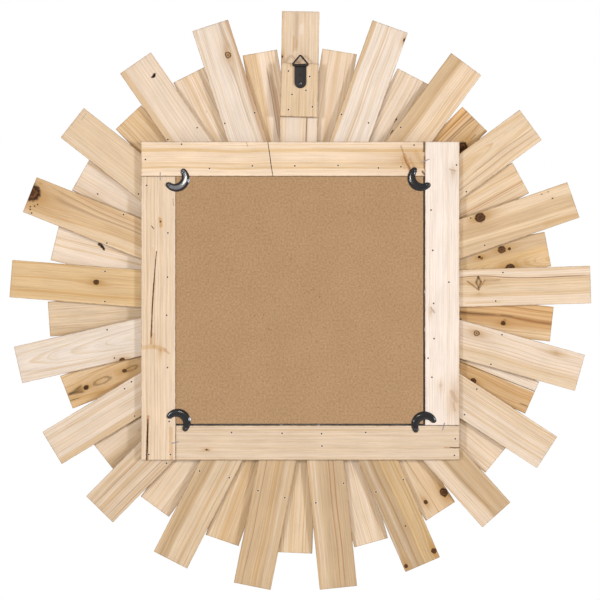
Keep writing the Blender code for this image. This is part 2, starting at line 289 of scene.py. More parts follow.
class Wood:
    """How one slat looks. Its places are on a spoke or the frame until they are turned to its own axes."""

    def __init__(self, tone, shade, parts=(), lines=0.6, bands=0.3, spacing=3.4, pith=(150.0, 20.0, 0.0),
                 slant=0.0, knots=(), streaks=(), marks=(), fibre=1.0, nails=(), cracks=(), gouges=()):
        self.tone = tone
        self.shade = shade
        self.parts = parts  # (tone, from, to, softness), across
        self.lines = lines  # how strongly the growth rings show
        self.bands = bands  # the same for broad darker bands
        self.spacing = spacing  # of the growth rings
        self.pith = pith  # the tree's middle: across, depth at the slat's middle, and how it deepens outwards
        self.slant = slant  # how far the grain runs across for each millimetre outwards
        self.knots = knots  # (across, outwards, radius, kind)
        self.streaks = streaks  # (across, from, to, half width, strength, colour)
        self.marks = marks  # (from (across, outwards), to (across, outwards), half width, strength, colour)
        self.fibre = fibre  # how strongly the fibres show
        self.nails = nails  # (across, outwards)
        self.cracks = cracks  # (points (across, outwards), half width, depth)
        self.gouges = gouges  # (across, outwards, radius, squash, turn, depth)


def late_wood(colour):
    return tuple(channel * share for channel, share in zip(colour, LATE_WOOD)) + (1.0,)


def swerve_round_knots(g, look, across, along, flow, wobble):
    """The flow of the grain, bent at each knot, and how far each place is from each knot."""
    knots = []
    for knot_across, knot_along, radius, kind in look.knots:
        off = across - knot_across
        up = along - knot_along
        off_square = off * off
        up_square = up * up
        near = g.fade(off_square + up_square * 0.10, (2.3 * radius + 1.0) ** 2)
        if kind not in ("dot", "stain"):
            flow -= off * near * 0.9
        slender = 0.11 if kind == "eye" else 0.8
        distance = g.math("SQRT", off_square + up_square * slender) + wobble * (0.9 * radius)
        long_distance = g.math("SQRT", off_square + up_square * 0.16)
        knots.append((distance, long_distance, radius, kind))
    return flow, knots


def growth_rings(g, look, place, ring):
    """How dark the wood is, and its late wood alone, from the distance to the tree's middle."""
    # patchy along their length; wood darkens through each ring, then drops back to pale
    patchy = g.noise_at(g.stretch(place, 0.16, 0.16, 0.012), 1.0, 2.0)
    saw = g.math("FRACT", ring / look.spacing + g.noise(ring, 0.16, 2.0) * 2.6)
    late = g.smooth(saw, 0.35, 0.93) - g.smooth(saw, 0.94, 1.0)
    strong = g.smooth(g.noise(ring, 0.13, 1.0), 0.36, 0.68)
    bands = g.smooth(g.noise(ring + 41.0, 0.085, 2.0, 0.55), 0.40, 0.72)
    fine = g.smooth(g.noise(ring, 1.1, 3.0, 0.7), 0.38, 0.70)
    hair = g.smooth(abs(g.noise(ring + 83.0, 0.24, 1.0) - 0.5), 0.0, 0.035, 1.0, 0.0)
    dark = late * (strong + 0.2) * (1.3 * look.lines) + bands * look.bands
    dark = dark + hair * (1.3 * look.lines) + fine * (0.45 * look.lines)
    return dark * g.smooth(patchy, 0.25, 0.7, 0.55, 1.15), late


def wood_colour(g, look, flow, dark):
    """The tones across the slat, each from its early wood to its late wood."""
    early = lit(*TONES[look.tone], look.shade)
    late = late_wood(early)
    for tone_name, start, finish, softness in look.parts:
        tone = lit(*TONES[tone_name], look.shade)
        inside = g.smooth(flow, start - softness, start + softness)
        inside *= g.smooth(flow, finish - softness, finish + softness, 1.0, 0.0)
        early = g.mix(inside, early, tone)
        late = g.mix(inside, late, late_wood(tone))
    return g.mix(g.clamp(dark), early, late)


def streak_colour(g, colour, look, flow, along, fibres):
    """Lays the coloured lines that follow the grain over the wood."""
    for streak_across, start, finish, half_width, strength, kind in look.streaks:
        off = (flow - streak_across) / half_width
        taper = max(5.0, 0.15 * (finish - start))
        inside = g.smooth(along, start, start + taper) * g.smooth(along, finish - taper, finish, 1.0, 0.0)
        share = g.fade(off * off, 1.0) * inside * strength * g.smooth(fibres, 0.3, 0.7, 1.25, 0.65)
        colour = g.mix(g.clamp(share), colour, STREAKS[kind])
    return colour


def wood_material(name, look, own, seed):
    made, shader, g = new_material(name, {"Specular IOR Level": 0.10})
    place = g.read("Vector", "ShaderNodeAttribute", attribute_name="grain")
    sockets = g.add("ShaderNodeSeparateXYZ", {0: place}).outputs
    across, through, along = (Value(g, socket) for socket in sockets)

    # the grain wanders along the slat and swerves round each knot
    wander = g.noise(along * 0.011 + seed * 3.7, 1.0, 1.0)
    flow = across + (wander - 0.5) * 3.4 - along * look.slant
    wobble = g.noise_at(g.stretch(place, 0.30, 0.30, 0.24), 1.0, 3.0, 0.6) - 0.5
    flow, knots = swerve_round_knots(g, look, across, along, flow, wobble)

    pith_across, depth, dip = look.pith
    shaken = g.noise_at(g.stretch(place, 0.10, 0.10, 0.010), 1.0, 2.0)
    ring = g.length(flow - pith_across, through + depth + along * dip) + (shaken - 0.5) * 1.6 + seed * 17.3
    dark, late = growth_rings(g, look, place, ring)
    colour = wood_colour(g, look, flow, dark)

    # fibres, short pores and soft blotches
    fibres = g.noise_at(g.stretch(place, 0.62, 0.62, 0.020), 1.0, 5.0, 0.78)
    pores = g.noise_at(g.stretch(place, 2.2, 2.2, 0.16), 1.0, 1.0)
    blotches = g.noise_at(g.stretch(place, 0.07, 0.07, 0.022), 1.0, 3.0)
    tint = g.smooth(fibres, 0.30, 0.70, 1.0 + 0.07 * look.fibre, 1.0 - 0.12 * look.fibre)
    tint *= g.smooth(pores, 0.66, 0.80, 1.0, 0.88)
    tint *= g.smooth(blotches, 0.25, 0.75, 1.05, 0.95)
    colour = g.scaled(colour, tint)
    colour = streak_colour(g, colour, look, flow, along, fibres)

    for start, finish, half_width, strength, kind in look.marks:
        distance = g.to_line(across, along, start, finish) / half_width + wobble * 1.6
        share = g.smooth(distance, 0.5, 1.3, strength, 0.0) * g.smooth(pores, 0.3, 0.6, 0.75, 1.0)
        colour = g.mix(share, colour, STREAKS[kind])

    for nail_across, nail_along in look.nails:
        distance = g.length(across - nail_across, along - nail_along)
        colour = g.mix(g.smooth(distance, 1.2, 2.4, 0.3, 0.0), colour, STREAKS["pale"])
        colour = g.mix(g.smooth(distance, 0.75, 1.2, 0.9, 0.0), colour, NAIL_STAIN)

    for distance, long_distance, radius, kind in knots:
        colour = knot_colour(g, colour, distance, long_distance, radius, kind, fibres)

    # the arrises and sawn ends are bruised and dirty in places; the same brown near every edge is also
    # painted shade, darkening the crevices between the slats
    rim = own.size.x / MM / 2 - abs(across)
    end = own.size.z / MM / 2 - abs(along)
    edge_dark_patches = g.smooth(g.noise_at(g.stretch(place, 0.2, 0.2, 0.12), 1.0, 3.0, 0.7), 0.40, 0.66)
    # painted shade and dirt: brown darkening within about a millimetre of every edge
    grime_and_painted_light = g.smooth(g.math("MINIMUM", rim, end), 0.1, 1.2, 0.60, 0.0)
    colour = g.mix(grime_and_painted_light * (edge_dark_patches + 0.25), colour, STREAKS["brown"])

    g.feed(shader.inputs["Base Color"], colour)
    g.feed(shader.inputs["Roughness"], g.smooth(late, 0.0, 1.0, 0.72, 0.60))
    relief = fibres * 0.5 + late * 0.35 - g.smooth(pores, 0.66, 0.80, 0.0, 0.4)
    g.bump(shader, relief, 0.00012, 0.7)
    return made


# Each kind of knot: how strongly its stained halo, its dark rim and its inside show.
KNOT_KINDS = {
    "plain": (0.75, 0.95, 0.95),
    "black": (0.75, 1.00, 1.00),
    "ringed": (0.60, 0.90, 0.80),
    "eye": (0.25, 0.5, 0.0),
    "faint": (0.35, 0.0, 0.12),
    "stain": (0.45, 0.0, 0.0),
    "dot": (0.15, 0.95, 0.95),
}


def knot_colour(g, colour, distance, long_distance, radius, kind, fibres):
    """Lays one knot over the wood: a stained halo along the grain, an inside with rings, and a dark rim."""
    halo_strength, rim_strength, inside_strength = KNOT_KINDS[kind]
    halo = g.fade(g.math("MAXIMUM", long_distance - 0.8 * radius, 0.0), radius + 0.4)
    colour = g.mix(halo * halo_strength, colour, KNOT_HALO)
    rings = g.smooth(g.math("SINE", distance * (13.0 / max(radius, 1.5))), -1.0, 1.0)
    if kind == "ringed":
        inside = g.mix(rings, KNOT_TAN, KNOT_PALE)
    else:
        inside = g.mix(rings, KNOT_DARK, KNOT_BROWN)
    if kind == "black":
        inside = g.mix(0.8, inside, KNOT_BLACK)
    heart = g.smooth(distance, 0.16 * radius, 0.36 * radius, 0.9, 0.0)
    inside = g.scaled(g.mix(heart, inside, KNOT_DARK), g.smooth(fibres, 0.3, 0.7, 1.25, 0.75))
    colour = g.mix(g.smooth(distance, radius * 0.88, radius * 1.08, inside_strength, 0.0), colour, inside)
    rim = g.smooth(distance, radius * 0.52, radius * 0.86) - g.smooth(distance, radius * 0.98, radius * 1.28)
    rim *= g.smooth(fibres, 0.35, 0.6, 1.0, 0.75)
    return g.mix(rim * rim_strength, colour, KNOT_DARK)


# ---------------------------------------------------------------- planks

EASE = 0.55 * MM  # how far the sawn edges are rounded over
CELL_ALONG = 3.0 * MM
CELL_ACROSS = 3.4 * MM
CUTTER_ABOVE = 0.6 * MM  # how far a cutter stands out of the rear face
CUTTER_TAPER = 0.8  # a round cutter's radius at its bottom, as a share of its radius at the top
NAIL_HOLE_RADIUS = 0.8 * MM
NAIL_HOLE_DEPTH = 1.3 * MM
NAIL_HEAD = (1.2 * MM, 0.5 * MM, 0.95 * MM)
PILOT_RADIUS = 1.3 * MM
PILOT_DEPTH = 5.8 * MM


def set_up(name, mesh, materials=()):
    made = bpy.data.objects.new(name, mesh)
    bpy.context.scene.collection.objects.link(made)
    for material in materials:
        mesh.materials.append(material)
    return made


def finish_bmesh(made, name):
    mesh = bpy.data.meshes.new(name)
    made.to_mesh(mesh)
    made.free()
    return mesh


def circle(sides):
    """The cosine and sine of each turn, once round."""
    turns = [2 * math.pi * i / sides for i in range(sides)]
    return [(math.cos(turn), math.sin(turn)) for turn in turns]


def add_skin(made, rings, close=False):
    """Faces over rings of points, each joined to the next, with a cap at both ends or closed on itself."""
    rows = [[made.verts.new(point) for point in ring] for ring in rings]
    pairs = list(zip(rows, rows[1:]))
    if close:
        pairs.append((rows[-1], rows[0]))
    for first, second in pairs:
        for j in range(len(first)):
            k = (j + 1) % len(first)
            made.faces.new((first[j], first[k], second[k], second[j]))
    if not close:
        made.faces.new(rows[0])
        made.faces.new(reversed(rows[-1]))


def skin(name, rings, close=False):
    """A mesh of one such skin."""
    made = bmesh.new()
    add_skin(made, rings, close)
    bmesh.ops.recalc_face_normals(made, faces=made.faces)
    return finish_bmesh(made, name)


def plank_outline(width, depth):
    """A rounded rectangle as (across, through) points once round, from through = 0 down to -depth."""
    half = width / 2
    columns = max(4, round(width / CELL_ACROSS))
    rear = [(-half + EASE + (width - 2 * EASE) * i / columns, 0.0) for i in range(columns + 1)]
    front = [(x, -depth) for x, _ in reversed(rear)]
    corner = 0.29 * EASE
    rim = half - corner
    right = [(rim, -corner), (half, -EASE), (half, -depth / 2), (half, -depth + EASE), (rim, -depth + corner)]
    left = [(-x, y) for x, y in reversed(right)]
    return rear + right + front + left


def plank_mesh(name, own, seed):
    """A sawn slat as a closed grid, its edges eased and very slightly uneven."""
    width, depth, length = own.size
    outline = plank_outline(width, depth)
    rows = max(8, round(length / CELL_ALONG))
    inset = EASE * 0.8
    stations = [(-length / 2, inset * 0.7), (-length / 2 + 0.3 * inset, inset * 0.25)]
    stations += [(-length / 2 + inset + (length - 2 * inset) * i / rows, 0.0) for i in range(rows + 1)]
    stations += [(length / 2 - 0.3 * inset, inset * 0.25), (length / 2, inset * 0.7)]
    rings = []
    for along, shrink in stations:
        ring = []
        for across, through in outline:
            side = 1 if across > 0 else -1
            drift = lattice.noise(Vector((seed * 5.1 + side * 3.3, along / MM * 0.045, 0.0)))
            ripple = lattice.noise(Vector((seed * 2.7 + side * 9.1, along / MM * 0.35, 4.0)))
            reach = abs(across) / (width / 2)
            pull = (0.10 + 0.09 * drift + 0.05 * ripple) * MM * reach**4
            waves = lattice.noise(Vector((across / MM * 0.08, along / MM * 0.03, seed * 1.3)))
            hollow = 0.05 * MM * (1 + waves)
            centred = (through + depth / 2) / (depth / 2)
            x = across - side * (pull + shrink * min(1.0, reach))
            y = through - (hollow + shrink) * centred
            ring.append(own.to_world(x, y, along))
        rings.append(ring)
    return skin(name, rings)


def add_cylinder(made, own, across, along, radius, depth, sides=10, squash=1.0, turn=0.0):
    """A round or oval cutter that narrows into the wood, for a nail's hole, a gouge or a pilot hole."""
    top, bottom = [], []
    for cosine, sine in circle(sides):
        x = radius * cosine
        z = radius * squash * sine
        x, z = x * math.cos(turn) - z * math.sin(turn), x * math.sin(turn) + z * math.cos(turn)
        top.append(own.to_world(across + x, CUTTER_ABOVE, along + z))
        bottom.append(own.to_world(across + CUTTER_TAPER * x, -depth, along + CUTTER_TAPER * z))
    add_skin(made, (top, bottom))


def add_wedge(made, own, points, half_width, depth):
    """A cutter for a crack: a blade along a line of points, widest in its middle and sharp at both ends."""
    count = len(points)
    rings = []
    for i, (across, along) in enumerate(points):
        before = points[max(i - 1, 0)]
        after = points[min(i + 1, count - 1)]
        run = Vector((after[0] - before[0], after[1] - before[1])).normalized()
        swell = max(0.12, math.sin(math.pi * i / (count - 1)))
        offset = Vector((-run.y, run.x)) * half_width * swell
        corners = ((-1.4, CUTTER_ABOVE), (1.4, CUTTER_ABOVE), (0.15, -depth * swell), (-0.15, -depth * swell))
        rings.append([own.to_world(across + share * offset.x, through, along + share * offset.y)
                      for share, through in corners])
    add_skin(made, rings)


def combine(piece, other_mesh, operation="DIFFERENCE"):
    """Applies a Boolean operation and removes the other mesh."""
    other = set_up("other", other_mesh)
    boolean = piece.modifiers.new("combined", "BOOLEAN")
    boolean.operation = operation
    boolean.solver = "EXACT"
    boolean.use_self = True
    boolean.object = other
    graph = bpy.context.evaluated_depsgraph_get()
    result = bpy.data.meshes.new_from_object(piece.evaluated_get(graph))
    piece.modifiers.clear()
    piece.data = result
    bpy.data.objects.remove(other, do_unlink=True)


def store_grain(piece, own):
    """Writes each point's place in the slat, in millimetres, for the wood material."""
    mesh = piece.data
    points = np.empty(len(mesh.vertices) * 3)
    mesh.vertices.foreach_get("co", points)
    offset = points.reshape(-1, 3) - np.array(own.centre)
    axes = np.array([own.across, own.through, own.along])
    grain = (offset @ axes.T) / MM
    layer = mesh.attributes.new("grain", "FLOAT_VECTOR", "POINT")
    layer.data.foreach_set("vector", grain.astype(np.float32).ravel())


def smooth_by_angle(piece, degrees=35):
    piece.data.shade_smooth()
    piece.data.set_sharp_from_angle(angle=math.radians(degrees))


def nail_heads(name, own, places):
    """One piece with the sunk heads of a slat's brads, each a small rectangle rubbed round at its edges."""
    draw = random.Random(name)
    made = bmesh.new()
    for across, along in places:
        turn = Matrix.Rotation(draw.uniform(0, math.pi), 3, "Y")
        sunk = draw.uniform(0.5, 0.75) * MM
        cube = bmesh.ops.create_cube(made, size=1.0)["verts"]
        bmesh.ops.scale(made, vec=NAIL_HEAD, verts=cube)
        bmesh.ops.rotate(made, verts=cube, matrix=turn)
        bmesh.ops.translate(made, verts=cube, vec=own.to_world(across * MM, -sunk - 0.25 * MM, along * MM))
    bmesh.ops.bevel(made, geom=made.edges[:], offset=0.12 * MM, segments=2, affect="EDGES")
    piece = set_up(name, finish_bmesh(made, name), (NAIL_STEEL,))
    smooth_by_angle(piece)
    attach(piece, "mirror")


def make_plank(node, own, look, seed, holes=()):
    """Replaces one CAD slat with a sawn one: mesh, cuts, material and nail heads. Holes are for screws."""
    # painted shade: a black line along each crack, for the shade inside the split
    for points, half_width, _ in look.cracks:
        look.marks += tuple((*ends, half_width, 0.9, "black") for ends in zip(points, points[1:]))
    name = f"{node}_wood"
    piece = set_up(name, plank_mesh(node, own, seed), (wood_material(name, look, own, seed),))
    cutter = bmesh.new()
    for across, along in look.nails:
        add_cylinder(cutter, own, across * MM, along * MM, NAIL_HOLE_RADIUS, NAIL_HOLE_DEPTH)
    for points, half_width, depth in look.cracks:
        add_wedge(cutter, own, [(x * MM, y * MM) for x, y in points], half_width * MM, depth * MM)
    for across, along, radius, squash, turn, depth in look.gouges:
        add_cylinder(cutter, own, across * MM, along * MM, radius * MM, depth * MM, 14, squash, turn)
    for across, along in holes:
        add_cylinder(cutter, own, across * MM, along * MM, PILOT_RADIUS / CUTTER_TAPER, PILOT_DEPTH, 16)
    if cutter.verts:
        bmesh.ops.recalc_face_normals(cutter, faces=cutter.faces)
        combine(piece, finish_bmesh(cutter, "cutter"))
    else:
        cutter.free()
    store_grain(piece, own)
    smooth_by_angle(piece)
    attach(piece, "mirror")
    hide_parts(node)
    if look.nails:
        nail_heads(f"{node}_nails", own, look.nails)


# ---------------------------------------------------------------- hardware materials


def metal_material(name, colour, roughness, specular=0.5, sheen_colour=(), sheen_share=0.0):
    """Painted or bare steel. A painted sheen, a grey reflection painted into the colour, shows on what faces
    the rear squarely, sheen_share from 0 to 1.
    """
    made, shader, g = new_material(name, {"Specular IOR Level": specular})
    grime_and_painted_light = g.noise_at(g.object_place(), 1400.0, 3.0, 0.6)
    # painted reflection: grey painted into the colour of the faces that face the rear
    if sheen_share:
        normal = g.read("Normal", "ShaderNodeNewGeometry")
        towards_rear = g.read(1, "ShaderNodeSeparateXYZ", {0: normal})
        top = g.smooth(towards_rear, 0.93, 0.995, 0.0, sheen_share)
        colour = g.mix(top * g.smooth(grime_and_painted_light, 0.2, 0.8, 0.8, 1.1), colour, sheen_colour)
    g.feed(shader.inputs["Base Color"], colour)
    g.feed(shader.inputs["Roughness"], g.smooth(grime_and_painted_light, 0.4, 0.8, roughness, roughness + 0.06))
    return made


NAIL_STEEL = metal_material("nail_steel", lit(58, 38, 22), 0.9, 0.05)
BLACK_ENAMEL = metal_material("black_enamel", lit(22, 21, 22), 0.15)
# black enamel with a grey reflection painted on what faces the rear
SHEEN_PAINTED_ENAMEL = metal_material("black_enamel_painted_sheen", lit(22, 21, 22), 0.14, sheen_colour=lit(128, 128, 132), sheen_share=0.8)
BLACK_SATIN = metal_material("black_satin", lit(30, 23, 20), 0.50, 0.22)
BLACK_SCREW = metal_material("black_screw_steel", lit(30, 29, 30), 0.22)
STAPLE_STEEL = metal_material("staple_steel", lit(160, 148, 150), 0.40, 0.4)


# ---------------------------------------------------------------- the burst's slats

FAR = 60.0  # past either edge of any slat
FULL = (100.0, 360.0)  # the whole length of a spoke

# Clockwise from the top as seen from behind, first the rear layer and then the front one.
LONG_LOOKS = (
    Wood("cream", 1.07, lines=0.35, bands=0.25,
         knots=((-21.5, 289, 1.1, "plain"), (-1.2, 283, 2.0, "faint")),
         streaks=((-4.0, 294, 345, 2.4, 0.4, "grey"), (-7.5, 292, 316, 1.2, 0.6, "honey"),
                  (-3.5, 293, 312, 0.6, 0.6, "honey"), (2.0, 312, 330, 2.2, 0.7, "pale"),
                  (-8.0, 180, 224, 9.0, 0.6, "pale"), (14.0, 180, 224, 5.0, 0.6, "pale"),
                  (7.5, 180, 224, 0.7, 0.95, "brown"))),
    Wood("pale", 1.04, (("honey", -FAR, -15.0, 0.6),), lines=0.35, bands=0.1,
         knots=((27.0, 331, 1.7, "plain"),),
         streaks=((-4.0, *FULL, 0.5, 0.4, "honey"), (-1.0, *FULL, 0.5, 0.55, "honey"),
                  (2.0, *FULL, 0.6, 0.4, "honey"), (9.0, *FULL, 0.5, 0.4, "honey")),
         nails=((-18.5, 225.0), (15.0, 225.0))),
    Wood("cream", 1.13, (("tan", -FAR, -4.0, 2.5),), lines=0.7, bands=0.35,
         streaks=((10.0, *FULL, 0.6, 0.5, "honey"), (13.0, *FULL, 0.5, 0.4, "honey")),
         nails=((-17.5, 236.5),)),
    Wood("straw", 1.1, lines=0.6, bands=0.25, pith=(-8.0, 14.0, 0.045),
         streaks=((10.5, 250, 345, 0.6, 0.5, "brown"), (14.5, *FULL, 0.6, 0.5, "brown")),
         nails=((21.5, 234.0),)),
    Wood("straw", 1.13, (("tan", -8.0, 6.0, 3.0), ("tan", 14.0, FAR, 3.0)), lines=0.45, bands=0.3,
         slant=0.05,
         knots=((-14.0, 234, 5.2, "plain"), (-4.0, 322, 0.8, "dot"), (-13.0, 320, 0.6, "dot"),
                (-13.0, 312, 0.6, "dot")), streaks=((20.0, 296, 348, 3.0, 0.35, "honey"),),
         nails=((-17.5, 223.5), (18.5, 227.0))),
    Wood("straw", 1.07, (("blush", -FAR, -9.5, 0.6), ("cream", 10.0, FAR, 3.0)), lines=0.7, bands=0.35,
         pith=(-150.0, 20.0, 0.0), knots=((-5.8, 211.8, 3.4, "faint"), (7.5, 211.5, 1.0, "faint")),
         marks=(((-12.3, 212.0), (-6.3, 209.0), 1.3, 0.8, "black"),
                ((-6.3, 209.0), (0.4, 211.4), 1.1, 0.75, "black"),
                ((0.4, 211.4), (-6.8, 214.9), 1.1, 0.8, "black"),
                ((-6.8, 214.9), (-12.3, 212.0), 1.2, 0.8, "black"),
                ((-8.3, 199.0), (2.7, 211.2), 1.1, 0.75, "brown"),
                ((2.7, 211.2), (-7.6, 219.1), 1.0, 0.6, "brown"),
                ((-7.6, 219.1), (-7.0, 236.0), 1.6, 0.3, "brown")),
         streaks=((-9.5, *FULL, 0.6, 0.85, "brown"), (-7.0, *FULL, 0.5, 0.5, "honey"),
                  (1.5, 210, 348, 0.5, 0.45, "honey"), (19.0, 190, 240, 0.8, 0.5, "honey")),
         nails=((-15.5, 241.5), (17.5, 230.5))),
    Wood("blush", 1.04, (("straw", 10.0, FAR, 5.0),), lines=0.32, bands=0.2,
         knots=((-9.0, 212.0, 3.0, "ringed"), (-7.0, 309.0, 3.0, "faint")),
         streaks=((2.0, *FULL, 0.6, 0.55, "honey"), (6.5, *FULL, 0.7, 0.6, "honey"),
                  (10.0, *FULL, 0.5, 0.45, "honey")), nails=((-14.0, 241.5), (23.0, 236.5))),
    Wood("blush", 1.03, (("cream", -FAR, 0.0, 3.0),), lines=0.9, bands=0.15, spacing=2.2,
         nails=((-14.0, 233.0), (19.5, 235.5))),
    Wood("tan", 1.02, (("cream", 5.5, FAR, 1.0),), lines=0.4, bands=0.35,
         streaks=((1.5, *FULL, 1.6, 0.4, "grey"), (-9.0, *FULL, 1.0, 0.25, "honey"))),
    Wood("yellow", 0.93, (("tan", 1.0, FAR, 3.0),), lines=0.6, bands=0.3, slant=-0.02,
         knots=((-14.0, 335.0, 2.8, "plain"), (23.5, 337.0, 2.0, "plain"), (3.6, 294, 0.8, "dot")),
         streaks=((12.0, *FULL, 1.5, 0.25, "pale"), (6.0, *FULL, 0.7, 0.35, "brown"),
                  (22.0, *FULL, 0.8, 0.4, "pale"), (-6.0, *FULL, 2.0, 0.3, "honey")),
         nails=((-18.0, 243.5), (17.5, 242.5))),
    Wood("tan", 0.99, (("honey", 10.0, FAR, 3.0),), lines=0.35, bands=0.2,
         streaks=((-8.0, *FULL, 0.6, 0.75, "rust"), (-2.5, *FULL, 0.5, 0.7, "rust"),
                  (14.0, *FULL, 0.8, 0.5, "pale"), (18.0, *FULL, 0.8, 0.5, "pale"),
                  (21.0, *FULL, 0.6, 0.5, "honey")), nails=((-18.5, 221.0), (17.5, 239.0))),
    Wood("tan", 1.07, lines=0.45, bands=0.25,
         streaks=((-1.5, *FULL, 0.6, 0.6, "honey"), (1.0, *FULL, 0.5, 0.6, "honey"),
                  (12.5, *FULL, 0.5, 0.55, "brown"), (-12.0, *FULL, 1.5, 0.3, "pale")),
         nails=((-16.5, 233.0), (16.0, 229.5))),
    Wood("straw", 1.0, (("tan", 9.0, 21.0, 2.0),), lines=0.5, bands=0.3,
         streaks=((-7.0, *FULL, 1.0, 0.3, "honey"), (22.0, *FULL, 0.8, 0.5, "honey")),
         nails=((-15.0, 225.0), (20.0, 233.0))),
    Wood("cream", 0.97, lines=0.7, bands=0.25, spacing=4.4,
         streaks=((-9.0, *FULL, 0.5, 0.6, "brown"), (0.0, *FULL, 0.5, 0.5, "brown"),
                  (11.0, *FULL, 0.6, 0.5, "brown"), (-16.0, *FULL, 0.5, 0.4, "brown")),
         nails=((-14.5, 248.5),)),
    Wood("blush", 1.01, (("honey", -FAR, -17.5, 1.0),), lines=0.4, bands=0.2,
         streaks=((7.0, 190, 310, 0.6, 0.45, "honey"), (-10.0, *FULL, 0.6, 0.35, "honey")),
         nails=((-20.0, 238.0), (14.0, 232.0), (17.0, 221.0))),
    Wood("pale", 0.98, lines=0.45, bands=0.12, pith=(1.0, 16.0, 0.06),
         knots=((-22.0, 221.0, 3.0, "plain"),), streaks=((-13.5, 240, 346, 0.8, 0.4, "honey"),),
         nails=((-17.0, 229.5), (17.5, 230.5))),
    Wood("yellow", 1.08, lines=0.5, bands=0.3, spacing=4.4, knots=((4.0, 242.5, 2.8, "plain"),),
         streaks=((4.6, 248, 345, 0.6, 0.5, "honey"), (-12.0, *FULL, 1.8, 0.45, "honey"),
                  (13.0, 180, 236, 0.6, 0.5, "honey"), (9.0, 180, 232, 0.6, 0.5, "honey")),
         nails=((-18.0, 230.5), (17.5, 233.0))),
    Wood("honey", 1.12, (("straw", -FAR, -10.0, 3.0),), lines=0.6, bands=0.45, pith=(-150.0, 20.0, 0.0),
         knots=((3.0, 343.5, 9.4, "plain"), (-13.0, 338.0, 0.8, "dot"), (-10.5, 333.5, 0.8, "dot"),
                (-16.0, 337.0, 0.8, "dot"), (-7.5, 331.0, 0.8, "dot"), (-19.5, 334.0, 0.8, "dot"),
                (17.0, 336.5, 1.2, "faint")),
         streaks=((4.0, 190, 325, 1.2, 0.45, "brown"), (9.0, 190, 330, 1.0, 0.35, "brown"),
                  (14.0, 190, 300, 1.4, 0.35, "rust")), nails=((-20.0, 238.0), (18.5, 232.0))),
    Wood("straw", 1.06, lines=0.35, bands=0.15,
         streaks=((-18.5, *FULL, 0.6, 0.6, "pale"), (10.0, *FULL, 0.6, 0.3, "honey")),
         nails=((-20.5, 228.5),), cracks=(([(6.0, 335.8), (11.0, 336.2), (16.0, 336.0)], 0.15, 0.8),)),
    Wood("blush", 1.06, (("honey", -FAR, -17.0, 3.0),), lines=0.35, bands=0.12,
         streaks=((19.0, *FULL, 0.5, 0.5, "honey"), (3.0, *FULL, 0.5, 0.25, "honey")),
         # the black marks are painted shade inside the two gouges
         marks=(((4.0, 317.5), (6.8, 317.1), 1.3, 1.0, "black"),
                ((6.8, 317.1), (8.6, 318.6), 1.9, 1.0, "black")), nails=((-22.0, 246.0), (14.5, 238.0)),
         gouges=((5.4, 317.3, 1.7, 0.6, 1.5, 3.5), (7.9, 318.0, 1.6, 0.8, 0.8, 3.0))),
    Wood("pale", 1.03, (("rose", 12.0, FAR, 2.0),), lines=0.5, bands=0.12,
         knots=((3.8, 303.0, 3.2, "ringed"),),
         streaks=((-15.0, *FULL, 0.5, 0.3, "honey"), (4.5, 210, 296, 0.8, 0.4, "brown"),
                  (4.5, 308, 348, 2.0, 0.3, "brown")), nails=((-23.5, 227.0), (14.0, 228.5))),
)
